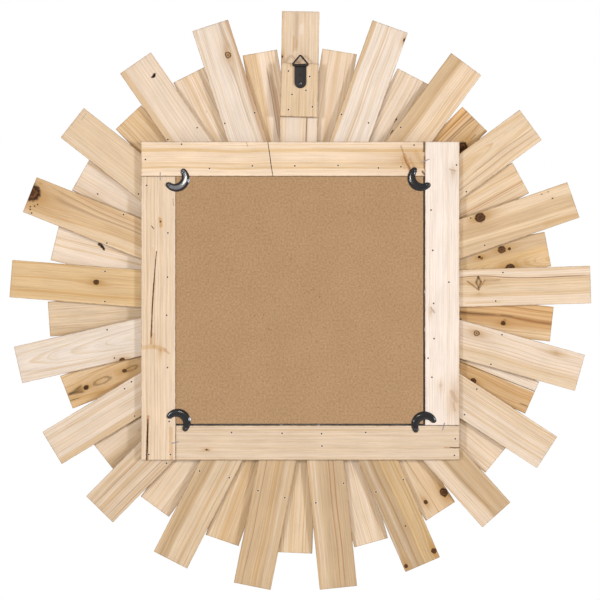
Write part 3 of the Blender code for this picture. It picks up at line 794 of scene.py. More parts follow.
SHORT_LOOKS = (
    Wood("cream", 1.12, lines=0.35, bands=0.25, streaks=((1.0, *FULL, 2.4, 0.35, "honey"),)),
    Wood("blush", 1.07, lines=0.6, bands=0.3, knots=((9.0, 243.5, 1.0, "dot"),),
         marks=(((12.5, 212.0), (11.0, 230.0), 1.1, 0.9, "black"),
                ((8.5, 240.0), (9.0, 246.0), 0.7, 0.7, "brown"))),
    Wood("orange", 1.26, (("tan", -2.0, FAR, 6.0),), lines=0.8, bands=0.6,
         knots=((16.8, 263.5, 6.2, "plain"),),
         marks=(((18.2, 286.0), (18.1, 278.5), 0.8, 0.7, "brown"),
                ((12.7, 298.0), (13.5, 274.0), 0.6, 0.55, "brown")),
         streaks=((-9.5, *FULL, 1.0, 0.65, "brown"), (-5.0, *FULL, 0.9, 0.55, "rust"),
                  (2.0, *FULL, 1.6, 0.6, "brown"), (5.5, *FULL, 0.9, 0.6, "brown"))),
    Wood("straw", 1.14, lines=0.7, bands=0.4, spacing=3.0,
         streaks=((7.0, *FULL, 0.7, 0.6, "rust"), (9.5, *FULL, 0.6, 0.5, "rust"))),
    Wood("yellow", 1.15, (("tan", -FAR, 0.0, 4.0),), lines=0.7, bands=0.3, pith=(12.0, 18.0, -0.1),
         knots=((-6.0, 247.0, 3.9, "plain"), (-5.0, 256.0, 1.6, "dot"), (-1.7, 221.0, 1.6, "black"),
                (-3.4, 219.0, 1.4, "black"), (17.0, 252.0, 4.2, "plain")),
         # the black mark at the frame's edge is painted shade: the dark gap between the slats and the frame
         marks=(((11.8, 187.5), (11.4, 193.0), 2.2, 0.95, "black"),)),
    Wood("orange", 1.18, (("honey", 10.0, FAR, 4.0),), lines=0.8, bands=0.45,
         knots=((8.5, 242.5, 2.4, "plain"),),
         streaks=((1.5, *FULL, 2.8, 0.72, "brown"), (0.5, 185, 236, 1.0, 0.5, "black"),
                  (1.0, 236, 256, 0.9, 0.7, "black"), (-6.0, *FULL, 1.4, 0.35, "rust"),
                  (3.0, 250, 300, 1.2, 0.45, "rust"), (-12.0, *FULL, 0.8, 0.35, "brown"),
                  (8.0, *FULL, 0.8, 0.45, "rust")),
         # the first black mark, at the frame's edge, is painted shade: the dark gap between the slats and the
         # frame
         marks=(((7.4, 187.0), (8.2, 191.5), 1.6, 0.85, "black"),
                ((5.0, 244.0), (9.0, 241.0), 2.2, 0.6, "brown"))),
    Wood("orange", 1.04, (("blush", -FAR, -1.8, 0.5),), lines=0.45, bands=0.25,
         knots=((13.5, 226.0, 3.0, "plain"),),
         streaks=((4.0, *FULL, 0.8, 0.4, "rust"), (18.0, 285, 300, 0.7, 0.7, "black")),
         cracks=(([(-2.0, 190.0), (-1.8, 220.0), (-1.7, 250.0), (-1.7, 285.0), (-1.6, 298.5)], 0.4, 1.6),)),
    Wood("cream", 1.07, lines=0.6, bands=0.2),
    Wood("honey", 1.1, (("straw", 8.0, FAR, 4.0),), lines=0.45, bands=0.3,
         knots=((-12.5, 284.0, 4.4, "plain"), (11.5, 281.5, 2.2, "plain")),
         streaks=((3.0, *FULL, 0.8, 0.35, "brown"),)),
    Wood("cream", 1.05, lines=0.6, bands=0.3),
    Wood("straw", 1.09, lines=0.7, bands=0.3),
    Wood("honey", 1.07, (("straw", 8.0, FAR, 2.0),), lines=0.6, bands=0.4,
         streaks=((2.5, *FULL, 1.6, 0.4, "honey"),)),
    Wood("cream", 1.06, lines=0.6, bands=0.25, pith=(-150.0, 20.0, 0.0)),
    Wood("cream", 1.01, (("tan", -FAR, -3.0, 3.0),), lines=0.3, bands=0.3,
         knots=((-1.2, 245.0, 2.0, "faint"),)),
    Wood("tan", 1.29, (("olive", -FAR, -6.0, 5.0),), lines=0.8, bands=0.6, pith=(-3.0, 16.0, 0.06),
         knots=((-2.8, 274.5, 2.6, "black"), (-1.0, 225.0, 2.2, "black"), (-2.4, 254.0, 3.6, "eye"),
                (-1.4, 216.0, 2.6, "eye"), (-14.0, 262.0, 2.0, "stain")),
         streaks=((-2.8, 276, 300, 0.9, 0.9, "black"), (-9.5, 284, 300, 0.8, 0.8, "black"),
                  (4.0, 284, 300, 0.5, 0.6, "brown"), (-12.0, 170, 250, 2.5, 0.4, "brown"),
                  (9.0, 190, 270, 1.0, 0.35, "brown"))),
    Wood("straw", 1.03, lines=0.5, bands=0.3, spacing=2.6, fibre=1.5),
    Wood("blush", 1.12, lines=0.45, bands=0.15, streaks=((9.0, *FULL, 0.6, 0.4, "honey"),),
         # the black marks are painted shade inside the gouge
         marks=(((12.4, 248.0), (10.6, 244.0), 2.0, 0.95, "black"),
                ((10.6, 244.0), (8.6, 241.8), 1.8, 0.95, "black"),
                ((8.6, 241.8), (7.3, 240.8), 1.1, 0.9, "black")),
         gouges=((10.9, 243.7, 3.4, 0.32, 1.1, 1.6),)),
    Wood("blush", 1.07, lines=0.5, bands=0.2, knots=((-10.5, 272.0, 0.8, "dot"),)),
    Wood("honey", 1.17, lines=0.5, bands=0.35,
         streaks=((-9.5, *FULL, 0.8, 0.35, "honey"), (14.0, *FULL, 0.8, 0.4, "honey"))),
    Wood("blush", 1.14, lines=0.6, bands=0.3,
         streaks=((-7.0, *FULL, 1.2, 0.5, "honey"), (2.0, *FULL, 1.0, 0.4, "honey"),
                  (10.0, *FULL, 1.1, 0.4, "brown")), gouges=((-3.1, 250.8, 1.5, 0.5, 0.2, 0.9),)),
    Wood("blush", 1.18, (("honey", -FAR, -5.0, 3.0), ("blush", -5.0, 3.0, 1.5)), lines=0.5, bands=0.25,
         streaks=((5.5, 180, 280, 2.2, 0.5, "brown"), (2.5, 190, 285, 0.6, 0.7, "brown"),
                  (9.0, 180, 262, 1.0, 0.4, "rust"))),
)


def turn_to_own_axes(look, own_place):
    """Turns a look's places to the slat's own axes, but for those of its streaks and parts."""
    look.knots = tuple((*own_place(x, z), *rest) for x, z, *rest in look.knots)
    look.marks = tuple((own_place(*start), own_place(*finish), *rest) for start, finish, *rest in look.marks)
    look.nails = [own_place(x, z) for x, z in look.nails]
    look.cracks = [([own_place(x, z) for x, z in points], *rest) for points, *rest in look.cracks]
    look.gouges = [(*own_place(x, z), *rest) for x, z, *rest in look.gouges]


def make_slat(node, angle, look, seed):
    """One slat of the burst, its look turned from the spoke's axes to the slat's own."""
    own = PlankFrame(node, spoke_point(angle, 0, 1000) - CENTRE)

    def own_place(across, outwards):
        return own.to_own(spoke_point(angle, across, outwards))

    def own_streak(across, start, finish, *rest):
        middle = min(max((start + finish) / 2, 230.0), 330.0)
        x, z = own_place(across, middle)
        return (x, start - middle + z, finish - middle + z, *rest)

    turn_to_own_axes(look, own_place)
    look.streaks = tuple(own_streak(*streak) for streak in look.streaks)
    shift = own_place(0.0, 250.0)[0]
    look.parts = tuple((tone, start + shift, finish + shift, soft)
                       for tone, start, finish, soft in look.parts)
    make_plank(node, own, look, seed)


def make_burst():
    for k, look in enumerate(LONG_LOOKS):
        make_slat(f"long_slat_{k + 1:02d}", k * STEP, look, k + 1)
    for k, look in enumerate(SHORT_LOOKS):
        make_slat(f"short_slat_{k + 1:02d}", (k + 0.5) * STEP, look, k + 40)


# ---------------------------------------------------------------- the frame and the hanger block

# Places are (across, up) from the burst's centre, but those of parts are on the slat's own axes.
FRAME_LOOKS = {
    "top": Wood("cream", 1.18, (("yellow", -11.5, -8.5, 2.0), ("straw", 5.0, 12.0, 2.0)), lines=0.45,
                bands=0.3, spacing=4.6, knots=((-134.0, 167.0, 9.0, "stain"),),
                marks=(((-118.5, 182.0), (-122.0, 172.0), 1.2, 0.5, "brown"),
                       ((-122.5, 171.0), (-129.5, 154.0), 2.6, 0.6, "rust"),
                       ((-122.5, 169.0), (-126.0, 160.0), 1.0, 0.85, "brown"),
                       ((-127.0, 160.0), (-129.5, 154.0), 1.0, 0.75, "black"),
                       ((-119.0, 168.0), (-123.0, 156.0), 1.8, 0.35, "honey"),
                       ((-129.0, 168.0), (-134.0, 157.0), 1.6, 0.4, "rust"),
                       ((-136.0, 176.0), (-143.0, 162.0), 2.6, 0.35, "honey"),
                       ((-145.8, 188.0), (-145.6, 176.0), 1.3, 0.9, "black"),
                       ((-145.8, 170.0), (-145.8, 156.0), 1.0, 0.85, "brown"),
                       ((-144.0, 152.0), (-146.0, 149.0), 1.4, 0.9, "black"),
                       ((136.0, 188.0), (90.0, 188.0), 0.7, 0.8, "brown"),
                       ((30.0, 188.0), (10.0, 188.0), 0.5, 0.6, "brown"),
                       ((64.0, 188.0), (62.0, 182.0), 0.5, 0.6, "brown")),
                nails=((140.0, 184.5), (182.5, 166.5), (107.0, 156.0), (56.5, 159.0), (6.5, 159.0),
                       (-44.5, 159.5), (-92.0, 156.5), (-118.5, 158.0), (-134.0, 183.5)),
                cracks=(([(38.6, 189.0), (36.0, 172.0), (34.5, 160.0), (32.4, 147.0)], 0.5, 2.2),
                        ([(136.4, 188.2), (112.0, 187.6), (89.0, 188.3)], 0.5, 1.6))),
    "right": Wood("white", 1.06, lines=0.4, bands=0.15, spacing=5.0,
                  knots=((-153.4, -13.2, 1.3, "faint"), (-165.3, -99.6, 2.0, "faint"),
                         (-182.0, -118.0, 6.0, "stain"), (-180.0, 151.5, 2.6, "faint")),
                  marks=(((-178.0, -107.0), (-184.0, -118.0), 2.6, 0.35, "grey"),
                         ((-180.0, -120.0), (-182.0, -129.0), 1.4, 0.35, "grey"),
                         ((-153.5, -8.0), (-158.0, -14.0), 1.2, 0.5, "grey"),
                         ((-176.0, 155.0), (-183.0, 153.0), 1.0, 0.45, "grey")),
                  nails=((-184.0, 160.0), (-154.0, 107.0), (-156.0, 59.5), (-175.0, 22.0), (-157.0, -3.0),
                         (-157.5, -44.5), (-155.0, -90.0), (-150.5, -67.5))),
    "bottom": Wood("cream", 0.98, lines=0.55, bands=0.3, spacing=4.0,
                   knots=((110.4, -175.3, 0.9, "plain"),),
                   marks=(((-170.0, -173.0), (-188.0, -173.0), 0.8, 0.6, "rust"),
                          ((111.0, -175.5), (108.0, -176.0), 1.0, 0.7, "brown")),
                   nails=((81.0, -155.0), (21.5, -156.0), (-25.0, -156.5), (-77.0, -155.0), (-25.5, -171.0),
                          (-182.5, -162.5), (-181.5, -182.0)),
                   cracks=(([(-176.6, -172.6), (-182.0, -173.2), (-188.6, -173.0)], 0.5, 2.0),)),
    "left": Wood("cream", 1.07, lines=0.5, bands=0.25, spacing=4.0,
                 knots=((164.8, 93.2, 0.9, "dot"), (164.8, -58.2, 1.3, "faint")),
                 marks=(((179.4, -136.0), (180.5, -192.0), 1.7, 0.6, "rust"),
                        ((172.8, 20.0), (176.0, -50.0), 1.3, 0.5, "rust"),
                        ((173.5, 62.0), (172.0, 20.0), 1.6, 0.25, "honey"),
                        ((166.0, 97.0), (164.0, 88.0), 1.8, 0.45, "honey"),
                        ((164.5, 96.0), (164.0, 88.0), 2.0, 0.5, "honey"),
                        ((152.5, -150.0), (152.0, -190.0), 2.5, 0.45, "honey"),
                        ((186.0, -55.0), (172.0, -54.0), 2.6, 0.4, "honey"),
                        ((172.0, -54.0), (160.0, -58.0), 2.6, 0.4, "honey"),
                        ((160.0, -57.0), (155.0, -62.0), 1.4, 0.35, "rust"),
                        ((173.0, -40.0), (172.5, -52.0), 2.6, 0.3, "honey"),
                        ((150.0, 120.0), (149.5, 112.0), 0.5, 0.5, "brown")),
                 nails=((181.0, 136.0), (156.0, 80.0), (156.5, 28.0), (157.5, -17.0), (156.5, -78.5),
                        (154.5, -142.0), (178.5, -181.0), (153.0, -181.0)),
                 cracks=(([(169.5, 58.0), (172.3, 24.0), (174.3, -5.0), (175.8, -43.0)], 0.65, 2.6),
                         ([(179.5, -140.0), (180.4, -166.0), (181.0, -192.0)], 0.9, 4.0),
                         ([(175.5, 88.5), (174.0, 86.5), (172.5, 85.0)], 0.5, 1.0))),
}
FRAME_ALONG = {"top": (-1, 0, 0), "right": (0, 0, 1), "bottom": (-1, 0, 0), "left": (0, 0, 1)}
CLIP_SLATS = {"upper_left": "left", "upper_right": "right", "lower_left": "bottom", "lower_right": "bottom"}


def make_nailed(node, along, look, seed, screws):
    """One slat whose look is in places on the frame, with pilot holes for the screws that it holds."""
    own = PlankFrame(node, Vector(along))
    turn_to_own_axes(look, lambda across, up: own.to_own(burst_point(across, up)))
    make_plank(node, own, look, seed, [own.to_own(node_middle(screw)) for screw in screws])


def make_frame():
    for k, (side, along) in enumerate(FRAME_ALONG.items()):
        screws = [f"clip_screw_{corner}" for corner, held in CLIP_SLATS.items() if held == side]
        make_nailed(f"frame_slat_{side}", along, FRAME_LOOKS[side], k + 80, screws)


BLOCK_LOOK = Wood("straw", 1.10, lines=0.5, bands=0.25, spacing=3.2, fibre=1.3,
                  nails=((14.0, 270.7), (-11.0, 264.3), (-6.6, 248.0), (9.9, 243.2), (-14.2, 228.6),
                         (14.1, 225.2)))


def make_block():
    make_nailed("hanger_block", (0, 0, 1), BLOCK_LOOK, 90, ("hanger_screw",))


# ---------------------------------------------------------------- board and glass


def hardboard_material():
    made, shader, g = new_material("hardboard_fibre", {"Roughness": 0.85, "Specular IOR Level": 0.2})
    place = g.object_place()
    mottle = g.noise_at(place, 25.0)
    flecks = g.noise_at(place, 420.0, 4.0, 0.80)
    chips = g.read("Distance", "ShaderNodeTexVoronoi", {"Vector": place, "Scale": 130.0}, feature="F1")
    chip_size = g.noise_at(place, 30.0, 1.0)
    colour = g.mix(g.smooth(mottle, 0.3, 0.7), lit(182, 145, 105), lit(185, 148, 108))
    colour = g.scaled(colour, g.smooth(flecks, 0.34, 0.66, 1.18, 0.80))
    spot = g.smooth(chips, 0.05, g.smooth(chip_size, 0.45, 0.8, 0.06, 0.20), 0.6, 0.0)
    g.feed(shader.inputs["Base Color"], g.mix(spot, colour, lit(122, 82, 48)))
    g.bump(shader, flecks, 0.00015, 0.6)
    return made


def eased_line(low, high, ease, cell):
    """Coordinates from low to high, in cells but for a narrow step at both ends."""
    return [low, *np.linspace(low + ease, high - ease, round((high - low) / cell) + 1), high]


def slab(name, low, high, ease, cell, materials):
    """A flat sheet with eased edges, gridded, its three materials for the rear, the edge and the front."""
    made = bmesh.new()
    columns = eased_line(low.x, high.x, ease, cell)
    rows = eased_line(low.z, high.z, ease, cell)
    last_column, last_row = len(columns) - 1, len(rows) - 1
    sheets = []
    for slot, y, edge_y in ((0, high.y, high.y - ease), (2, low.y, low.y + ease)):
        grid = []
        for i, z in enumerate(rows):
            at_edge = [i in (0, last_row) or j in (0, last_column) for j in range(len(columns))]
            grid.append([made.verts.new((x, edge_y if edge else y, z)) for x, edge in zip(columns, at_edge)])
        sheets.append(grid)
        for first, second in zip(grid, grid[1:]):
            for j in range(last_column):
                made.faces.new((first[j], first[j + 1], second[j + 1], second[j])).material_index = slot
    rim = [(0, j) for j in range(last_column)] + [(i, last_column) for i in range(last_row)]
    rim += [(last_row, j) for j in range(last_column, 0, -1)] + [(i, 0) for i in range(last_row, 0, -1)]
    rear, front = sheets
    for (i, j), (k, m) in zip(rim, rim[1:] + rim[:1]):
        made.faces.new((rear[i][j], rear[k][m], front[k][m], front[i][j])).material_index = 1
    bmesh.ops.recalc_face_normals(made, faces=made.faces)
    return set_up(name, finish_bmesh(made, name), materials)


def make_board():
    materials = (hardboard_material(),) * 3
    piece = slab("backing_board_fibre", board_low, board_high, 0.35 * MM, 30 * MM, materials)
    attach(piece, "mirror")
    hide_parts("backing_board")


def mirror_material():
    settings = {"Base Color": (0.90, 0.93, 0.91, 1.0), "Metallic": 1.0}
    settings |= {"Coat Weight": 1.0, "Coat Roughness": 0.01}
    made, shader, g = new_material("mirror_silver", settings)
    haze = g.noise_at(g.object_place(), 12.0, 3.0)
    g.feed(shader.inputs["Roughness"], g.smooth(haze, 0.4, 0.8, 0.015, 0.04))
    return made


def glass_edge_material():
    settings = {"Base Color": (0.16, 0.36, 0.28, 1.0), "Roughness": 0.22, "Coat Weight": 0.5}
    return new_material("glass_edge", settings)[0]


def silver_back_material():
    made, shader, g = new_material("silver_back_paint", {"Roughness": 0.55})
    streaks = g.noise_at(g.stretch(g.object_place(), 30.0, 30.0, 300.0), 1.0, 3.0)
    g.feed(shader.inputs["Base Color"], g.mix(streaks, (0.030, 0.027, 0.024, 1), (0.045, 0.041, 0.036, 1)))
    return made


def make_glass():
    low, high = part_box("mirror_glass")
    materials = (silver_back_material(), glass_edge_material(), mirror_material())
    piece = slab("mirror_glass_silvered", low, high, 0.4 * MM, 50 * MM, materials)
    smooth_by_angle(piece)
    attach(piece, "mirror")
    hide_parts("mirror_glass")


# ---------------------------------------------------------------- clips, hanger and staples

LIFT = 0.3 * MM  # the metal's clearance above the wood
CLIP_BEND = 11.75 * MM
CLIP_HALF_SWEEP = math.radians(86)
CLIP_END_HALF_WIDTH = 3.5 * MM
CLIP_MIDDLE_HALF_WIDTH = 5.1 * MM
CLIP_END_HEIGHT = 1.6 * MM
CLIP_MIDDLE_HEIGHT = 2.6 * MM
CLIP_STATIONS = 48
# Half of a clip's section, as shares of its half width and height: flange, steep shoulder and flattish top.
CLIP_SECTION = ((1.0, 0.0), (1.0, 0.14), (0.96, 0.22), (0.85, 0.26), (0.79, 0.36), (0.70, 0.70), (0.60, 0.88),
                (0.44, 0.97), (0.22, 0.995))
CLIP_FREE_ENDS = {
    "upper_left": (137.7, 152.1),
    "upper_right": (-134.2, 153.7),
    "lower_left": (154.0, -135.5),
    "lower_right": (-156.3, -140.7),
}
SHANK_RADIUS = 1.1 * MM
SHANK = ((0.4 * MM, -5.5 * MM), (SHANK_RADIUS, -4.4 * MM))  # (radius, depth) of a screw's taper
SCREW_HOLE = ((SHANK_RADIUS + 0.2 * MM, -1 * MM), (SHANK_RADIUS + 0.2 * MM, 4 * MM))
SCREW_SIDES = 28
# Above the head's base and out from the axis, in mm: the head's rim, its dome and the recess in its middle.
SCREW_HEAD = ((2.15, 0.0), (2.25, 0.15), (2.2, 0.42), (1.95, 0.72), (1.5, 0.94), (1.15, 1.0), (0.95, 0.94),
              (0.75, 0.4), (0.45, 0.3))


def clip_mesh(name, pivot, free_end):
    """A pressed crescent that bulges towards the burst's centre."""
    chord = free_end - pivot
    middle = (pivot + free_end) / 2
    bulge = Vector((-chord.z, 0, chord.x)).normalized()
    if bulge.dot(middle - CENTRE) > 0:
        bulge.negate()
    centre = middle - bulge * CLIP_BEND * math.cos(CLIP_HALF_SWEEP)
    sideways = chord.normalized()
    cap = CLIP_END_HALF_WIDTH / CLIP_BEND
    section = [(-x, y) for x, y in CLIP_SECTION] + [(0.0, 1.0)] + [(x, y) for x, y in reversed(CLIP_SECTION)]
    rings = []
    for i in range(CLIP_STATIONS + 1):
        angle = -math.cos(math.pi * i / CLIP_STATIONS) * (CLIP_HALF_SWEEP + cap * 0.99)
        swell = math.cos(min(abs(angle) / CLIP_HALF_SWEEP, 1.0) * math.pi / 2)
        past = max(abs(angle) - CLIP_HALF_SWEEP, 0.0) * CLIP_BEND
        rounding = math.sqrt(max(CLIP_END_HALF_WIDTH**2 - past**2, 0.0)) / CLIP_END_HALF_WIDTH
        half_width = (CLIP_END_HALF_WIDTH + (CLIP_MIDDLE_HALF_WIDTH - CLIP_END_HALF_WIDTH) * swell) * rounding
        height = (CLIP_END_HEIGHT + (CLIP_MIDDLE_HEIGHT - CLIP_END_HEIGHT) * swell) * (0.3 + 0.7 * rounding)
        outwards = bulge * math.cos(angle) + sideways * math.sin(angle)
        ring = [centre + outwards * (CLIP_BEND + half_width * share) for share, _ in section]
        for point, (_, rise) in zip(ring, section):
            point.y = LIFT + height * rise
        rings.append(ring)
    return skin(name, rings)


def turned(name, place, profile):
    """A mesh turned about Y through place, from (radius, y) points, closed at both ends."""
    rings = [[place + Vector((radius * cosine, y, radius * sine)) for cosine, sine in circle(SCREW_SIDES)]
             for radius, y in profile]
    return skin(name, rings)


def screw_place(node):
    """Where the screw's axis meets the wood's rear face."""
    place = node_middle(node)
    place.y = 0.0
    return place


def make_screw(node, head_base):
    head = [(radius * MM, head_base + rise * MM) for radius, rise in SCREW_HEAD]
    profile = [*SHANK, (SHANK_RADIUS, head_base), *head]
    piece = set_up(f"{node}_turned", turned(node, screw_place(node), profile), (BLACK_SCREW,))
    smooth_by_angle(piece, 50)
    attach(piece, "mirror")
    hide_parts(node)


def make_clips():
    top = LIFT + CLIP_END_HEIGHT
    dimple = ((0.3 * MM, top - 0.55 * MM), (0.8 * MM, top - 0.45 * MM), (1.5 * MM, top + 0.3 * MM))
    for corner, free_end in CLIP_FREE_ENDS.items():
        node = f"turn_clip_{corner}"
        pivot = screw_place(f"clip_screw_{corner}")
        free_end = burst_point(*free_end)
        # the upper left clip carries a painted reflection on its top
        material = SHEEN_PAINTED_ENAMEL if corner == "upper_left" else BLACK_ENAMEL
        piece = set_up(f"{node}_pressed", clip_mesh(node, pivot, free_end), (material,))
        combine(piece, turned("hole", pivot, SCREW_HOLE))
        combine(piece, turned("dimple", free_end, dimple))
        smooth_by_angle(piece, 42)
        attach(piece, f"clip_{corner}")
        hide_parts(node)
        make_screw(f"clip_screw_{corner}", CLIP_END_HEIGHT + 2 * LIFT)


LOOP_AXIS = burst_point(0, 276.8) + Vector((0, 2.2 * MM, 0))
LOOP_RADIUS = 1.9 * MM
LOOP_EASE = 0.15 * MM
LOOP_HOLE_RADIUS = 1.25 * MM
LOOP_SIDES = 32
STRAP_HALF_WIDTH = 7.0 * MM
STRAP_THICKNESS = 1.6 * MM
STRAP_LENGTH = 26.5 * MM
STRAP_END_STEPS = 24
STRAP_DIMPLE_UP = 10.5 * MM
WIRE_RADIUS = 1.0 * MM
WIRE_SIDES = 16
RING_HALF_WIDTH = 8.7 * MM
RING_HEIGHT = 11.7 * MM
RING_BASE_CORNER = 1.6 * MM
RING_TOP_CORNER = 1.5 * MM
RING_CORNER_POINTS = 12


def strap_plate():
    """The pressed plate with its round lower end and eased rear edge."""
    half = STRAP_HALF_WIDTH
    low = half - STRAP_LENGTH
    top = -LOOP_HOLE_RADIUS - 0.2 * MM
    turns = [math.pi * i / STRAP_END_STEPS for i in range(STRAP_END_STEPS + 1)]
    round_end = [(half * math.cos(turn), low - half * math.sin(turn)) for turn in turns]
    outline = [(half, top), *round_end, (-half, top)]
    rear = LIFT + STRAP_THICKNESS
    rings = []
    for y, inset in ((LIFT, 0.0), (rear - 0.35 * MM, 0.0), (rear - 0.1 * MM, 0.12), (rear, 0.35)):
        share = 1 - inset * MM / half
        eased = [(x * share, low + (z - low) * share if z < low else z) for x, z in outline]
        rings.append([(LOOP_AXIS.x + x, y, LOOP_AXIS.z + z) for x, z in eased])
    return skin("hanger_strap", rings)


def strap_loop():
    """The plate's rolled upper end, a tube across the strap."""
    half = STRAP_HALF_WIDTH
    eased = LOOP_RADIUS - LOOP_EASE
    flat = half - LOOP_EASE
    outside = ((-half, eased), (-flat, LOOP_RADIUS), (flat, LOOP_RADIUS), (half, eased))
    profile = (*outside, (half, LOOP_HOLE_RADIUS), (-half, LOOP_HOLE_RADIUS))
    rings = [[LOOP_AXIS + Vector((x, radius * cosine, radius * sine)) for cosine, sine in circle(LOOP_SIDES)]
             for x, radius in profile]
    return skin("roll", rings, close=True)


def make_strap():
    piece = set_up("hanger_strap_pressed", strap_plate(), (BLACK_SATIN,))
    combine(piece, strap_loop(), "UNION")
    screw = screw_place("hanger_screw")
    combine(piece, turned("hole", screw, SCREW_HOLE))
    rear = LIFT + STRAP_THICKNESS
    dimple = ((0.8 * MM, rear - 0.4 * MM), (1.4 * MM, rear - 0.2 * MM), (1.9 * MM, rear + 0.3 * MM))
    combine(piece, turned("dimple", screw + Vector((0, 0, STRAP_DIMPLE_UP)), dimple))
    smooth_by_angle(piece, 40)
    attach(piece, "mirror")
    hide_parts("hanger_strap")
    make_screw("hanger_screw", STRAP_THICKNESS + 2 * LIFT)


def ring_path():
    """The ring's centre line: a band drawn tight round two base corners and a top one."""
    base = Vector((RING_HALF_WIDTH - RING_BASE_CORNER, 0, RING_BASE_CORNER))
    top = Vector((0, 0, RING_HEIGHT - RING_TOP_CORNER))
    side = top - base
    side_turn = math.atan2(side.z, side.x) - math.acos((RING_BASE_CORNER - RING_TOP_CORNER) / side.length)
    arcs = (
        (base, RING_BASE_CORNER, -math.pi / 2, side_turn),
        (top, RING_TOP_CORNER, side_turn, math.pi - side_turn),
        (Vector((-base.x, 0, base.z)), RING_BASE_CORNER, math.pi - side_turn, 3 * math.pi / 2),
    )
    path = []
    for centre, radius, start, finish in arcs:
        for i in range(RING_CORNER_POINTS):
            turn = start + (finish - start) * i / (RING_CORNER_POINTS - 1)
            path.append(centre + radius * Vector((math.cos(turn), 0, math.sin(turn))))
    return path


def make_ring():
    path = ring_path()
    rings = []
    for k, point in enumerate(path):
        before = (point - path[k - 1]).normalized()
        after = (path[(k + 1) % len(path)] - point).normalized()
        across = (before + after).normalized().cross(Vector((0, 1, 0))).normalized()
        offsets = [across * cosine + Vector((0, sine, 0)) for cosine, sine in circle(WIRE_SIDES)]
        rings.append([LOOP_AXIS + point + offset * WIRE_RADIUS for offset in offsets])
    piece = set_up("hanger_ring_wire", skin("hanger_ring", rings, close=True), (BLACK_SATIN,))
    piece.data.shade_smooth()
    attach(piece, "ring")
    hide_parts("hanger_ring")


# Each staple's two ends, one across each joint of the frame.
STAPLES = {
    "upper_left": ((165.0, 151.5), (165.0, 142.0)),
    "upper_right": ((-142.5, 163.0), (-152.0, 167.0)),
    "lower_left": ((152.0, -168.0), (143.0, -166.0)),
    "lower_right": ((-170.0, -143.5), (-167.5, -152.5)),
}
# Along a staple: share of its length, and the height of its middle line in mm. It stays below the clips.
STAPLE_LINE = ((0.0, 0.0), (0.05, 0.07), (0.12, 0.10), (0.5, 0.11), (0.88, 0.10), (0.95, 0.07), (1.0, 0.0))
# A staple's section in mm: (across, up).
STAPLE_SECTION = ((0.6, -0.04), (0.4, 0.11), (-0.4, 0.11), (-0.6, -0.04), (-0.4, -0.12), (0.4, -0.12))


def make_staples():
    for corner, (start, finish) in STAPLES.items():
        first, last = burst_point(*start), burst_point(*finish)
        side = (last - first).normalized().cross(Vector((0, 1, 0)))
        rings = []
        for share, height in STAPLE_LINE:
            middle = first.lerp(last, share) + Vector((0, height * MM, 0))
            rings.append([middle + side * across * MM + Vector((0, up * MM, 0))
                          for across, up in STAPLE_SECTION])
        piece = set_up(f"corner_staple_{corner}", skin("corner_staple", rings), (STAPLE_STEEL,))
        smooth_by_angle(piece)
        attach(piece, "mirror")


# ---------------------------------------------------------------- the studio

CAMERA_DISTANCE = 1.68
CAMERA_SENSOR = 36.0
VIEW_WIDTH = 0.7067  # of the frame's rear plane, across the picture
VIEW_ASIDE = 0.0004
VIEW_ABOVE = 0.0010
FLOOR_DROP = 0.80
AMBIENT = (0.37, 0.27, 0.16)  # the light of the room's walls, warm from the wood itself
REFLECTED = (0.62, 0.63, 0.65)  # what the mirror and the enamel reflect
WHITE = (1.0, 1.0, 1.0)
KEY_COLOUR = (1.07, 1.0, 0.85)
SIDE_COLOUR = (0.91, 1.0, 1.17)
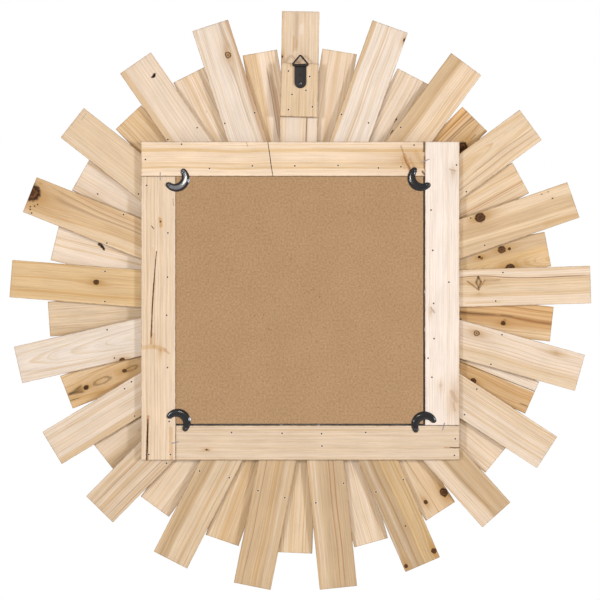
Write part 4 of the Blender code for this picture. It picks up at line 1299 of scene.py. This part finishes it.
# Each light: its name, its place from the burst's centre, its size, its power and its colour.
LIGHTS = (
    ("key_light", (0.2, 2.1, 0.5), (0.3, 0.3), 14.5, KEY_COLOUR),
    ("side_light_steep", (1.23, 1.95, 0.05), (0.3, 0.5), 26.5, SIDE_COLOUR),
    ("side_light_low", (-1.73, 1.52, 0.05), (0.3, 0.5), 37.0, SIDE_COLOUR),
    ("front_light_1", (1.2, -1.9, 0.9), (0.9, 0.9), 50.0, WHITE),
    ("front_light_-1", (-1.2, -1.9, 0.9), (0.9, 0.9), 50.0, WHITE),
)


def make_camera():
    data = bpy.data.cameras.new("camera")
    data.sensor_width = CAMERA_SENSOR
    data.lens = CAMERA_SENSOR * CAMERA_DISTANCE / VIEW_WIDTH
    camera = bpy.data.objects.new("camera", data)
    camera.location = CENTRE + Vector((VIEW_ASIDE, CAMERA_DISTANCE, VIEW_ABOVE))
    camera.rotation_euler = (math.radians(90), 0, math.radians(180))
    bpy.context.scene.collection.objects.link(camera)
    bpy.context.scene.camera = camera


def make_world():
    world = bpy.data.worlds.new("studio")
    world.use_nodes = True
    g = Graph(world.node_tree)
    ray = g.add("ShaderNodeLightPath").outputs
    colour = g.mix(Value(g, ray["Is Glossy Ray"]), (*AMBIENT, 1.0), (*REFLECTED, 1.0))
    colour = g.mix(Value(g, ray["Is Camera Ray"]), colour, (*WHITE, 1.0))
    g.feed(world.node_tree.nodes["Background"].inputs["Color"], colour)
    bpy.context.scene.world = world


def make_lights():
    for name, place, size, power, colour in LIGHTS:
        data = bpy.data.lights.new(name, "AREA")
        data.shape = "RECTANGLE"
        data.size, data.size_y = size
        data.energy = power
        data.color = colour
        made = bpy.data.objects.new(name, data)
        made.location = CENTRE + Vector(place)
        made.rotation_euler = (CENTRE - made.location).to_track_quat("-Z", "Y").to_euler()
        bpy.context.scene.collection.objects.link(made)


def make_floor():
    made = bmesh.new()
    bmesh.ops.create_grid(made, x_segments=2, y_segments=2, size=1.0)
    material = new_material("pale_floor", {"Base Color": (0.62, 0.62, 0.61, 1.0), "Roughness": 0.8})[0]
    floor = set_up("floor", finish_bmesh(made, "floor"), (material,))
    floor.scale = (1.7, 1.4, 1.0)
    floor.location = CENTRE + Vector((0, 0.2, -FLOOR_DROP))


make_camera()
make_world()
make_lights()
make_floor()
bpy.context.scene.view_settings.view_transform = "Standard"
make_burst()
make_frame()
make_block()
make_board()
make_glass()

make_clips()
make_strap()
make_ring()
make_staples()
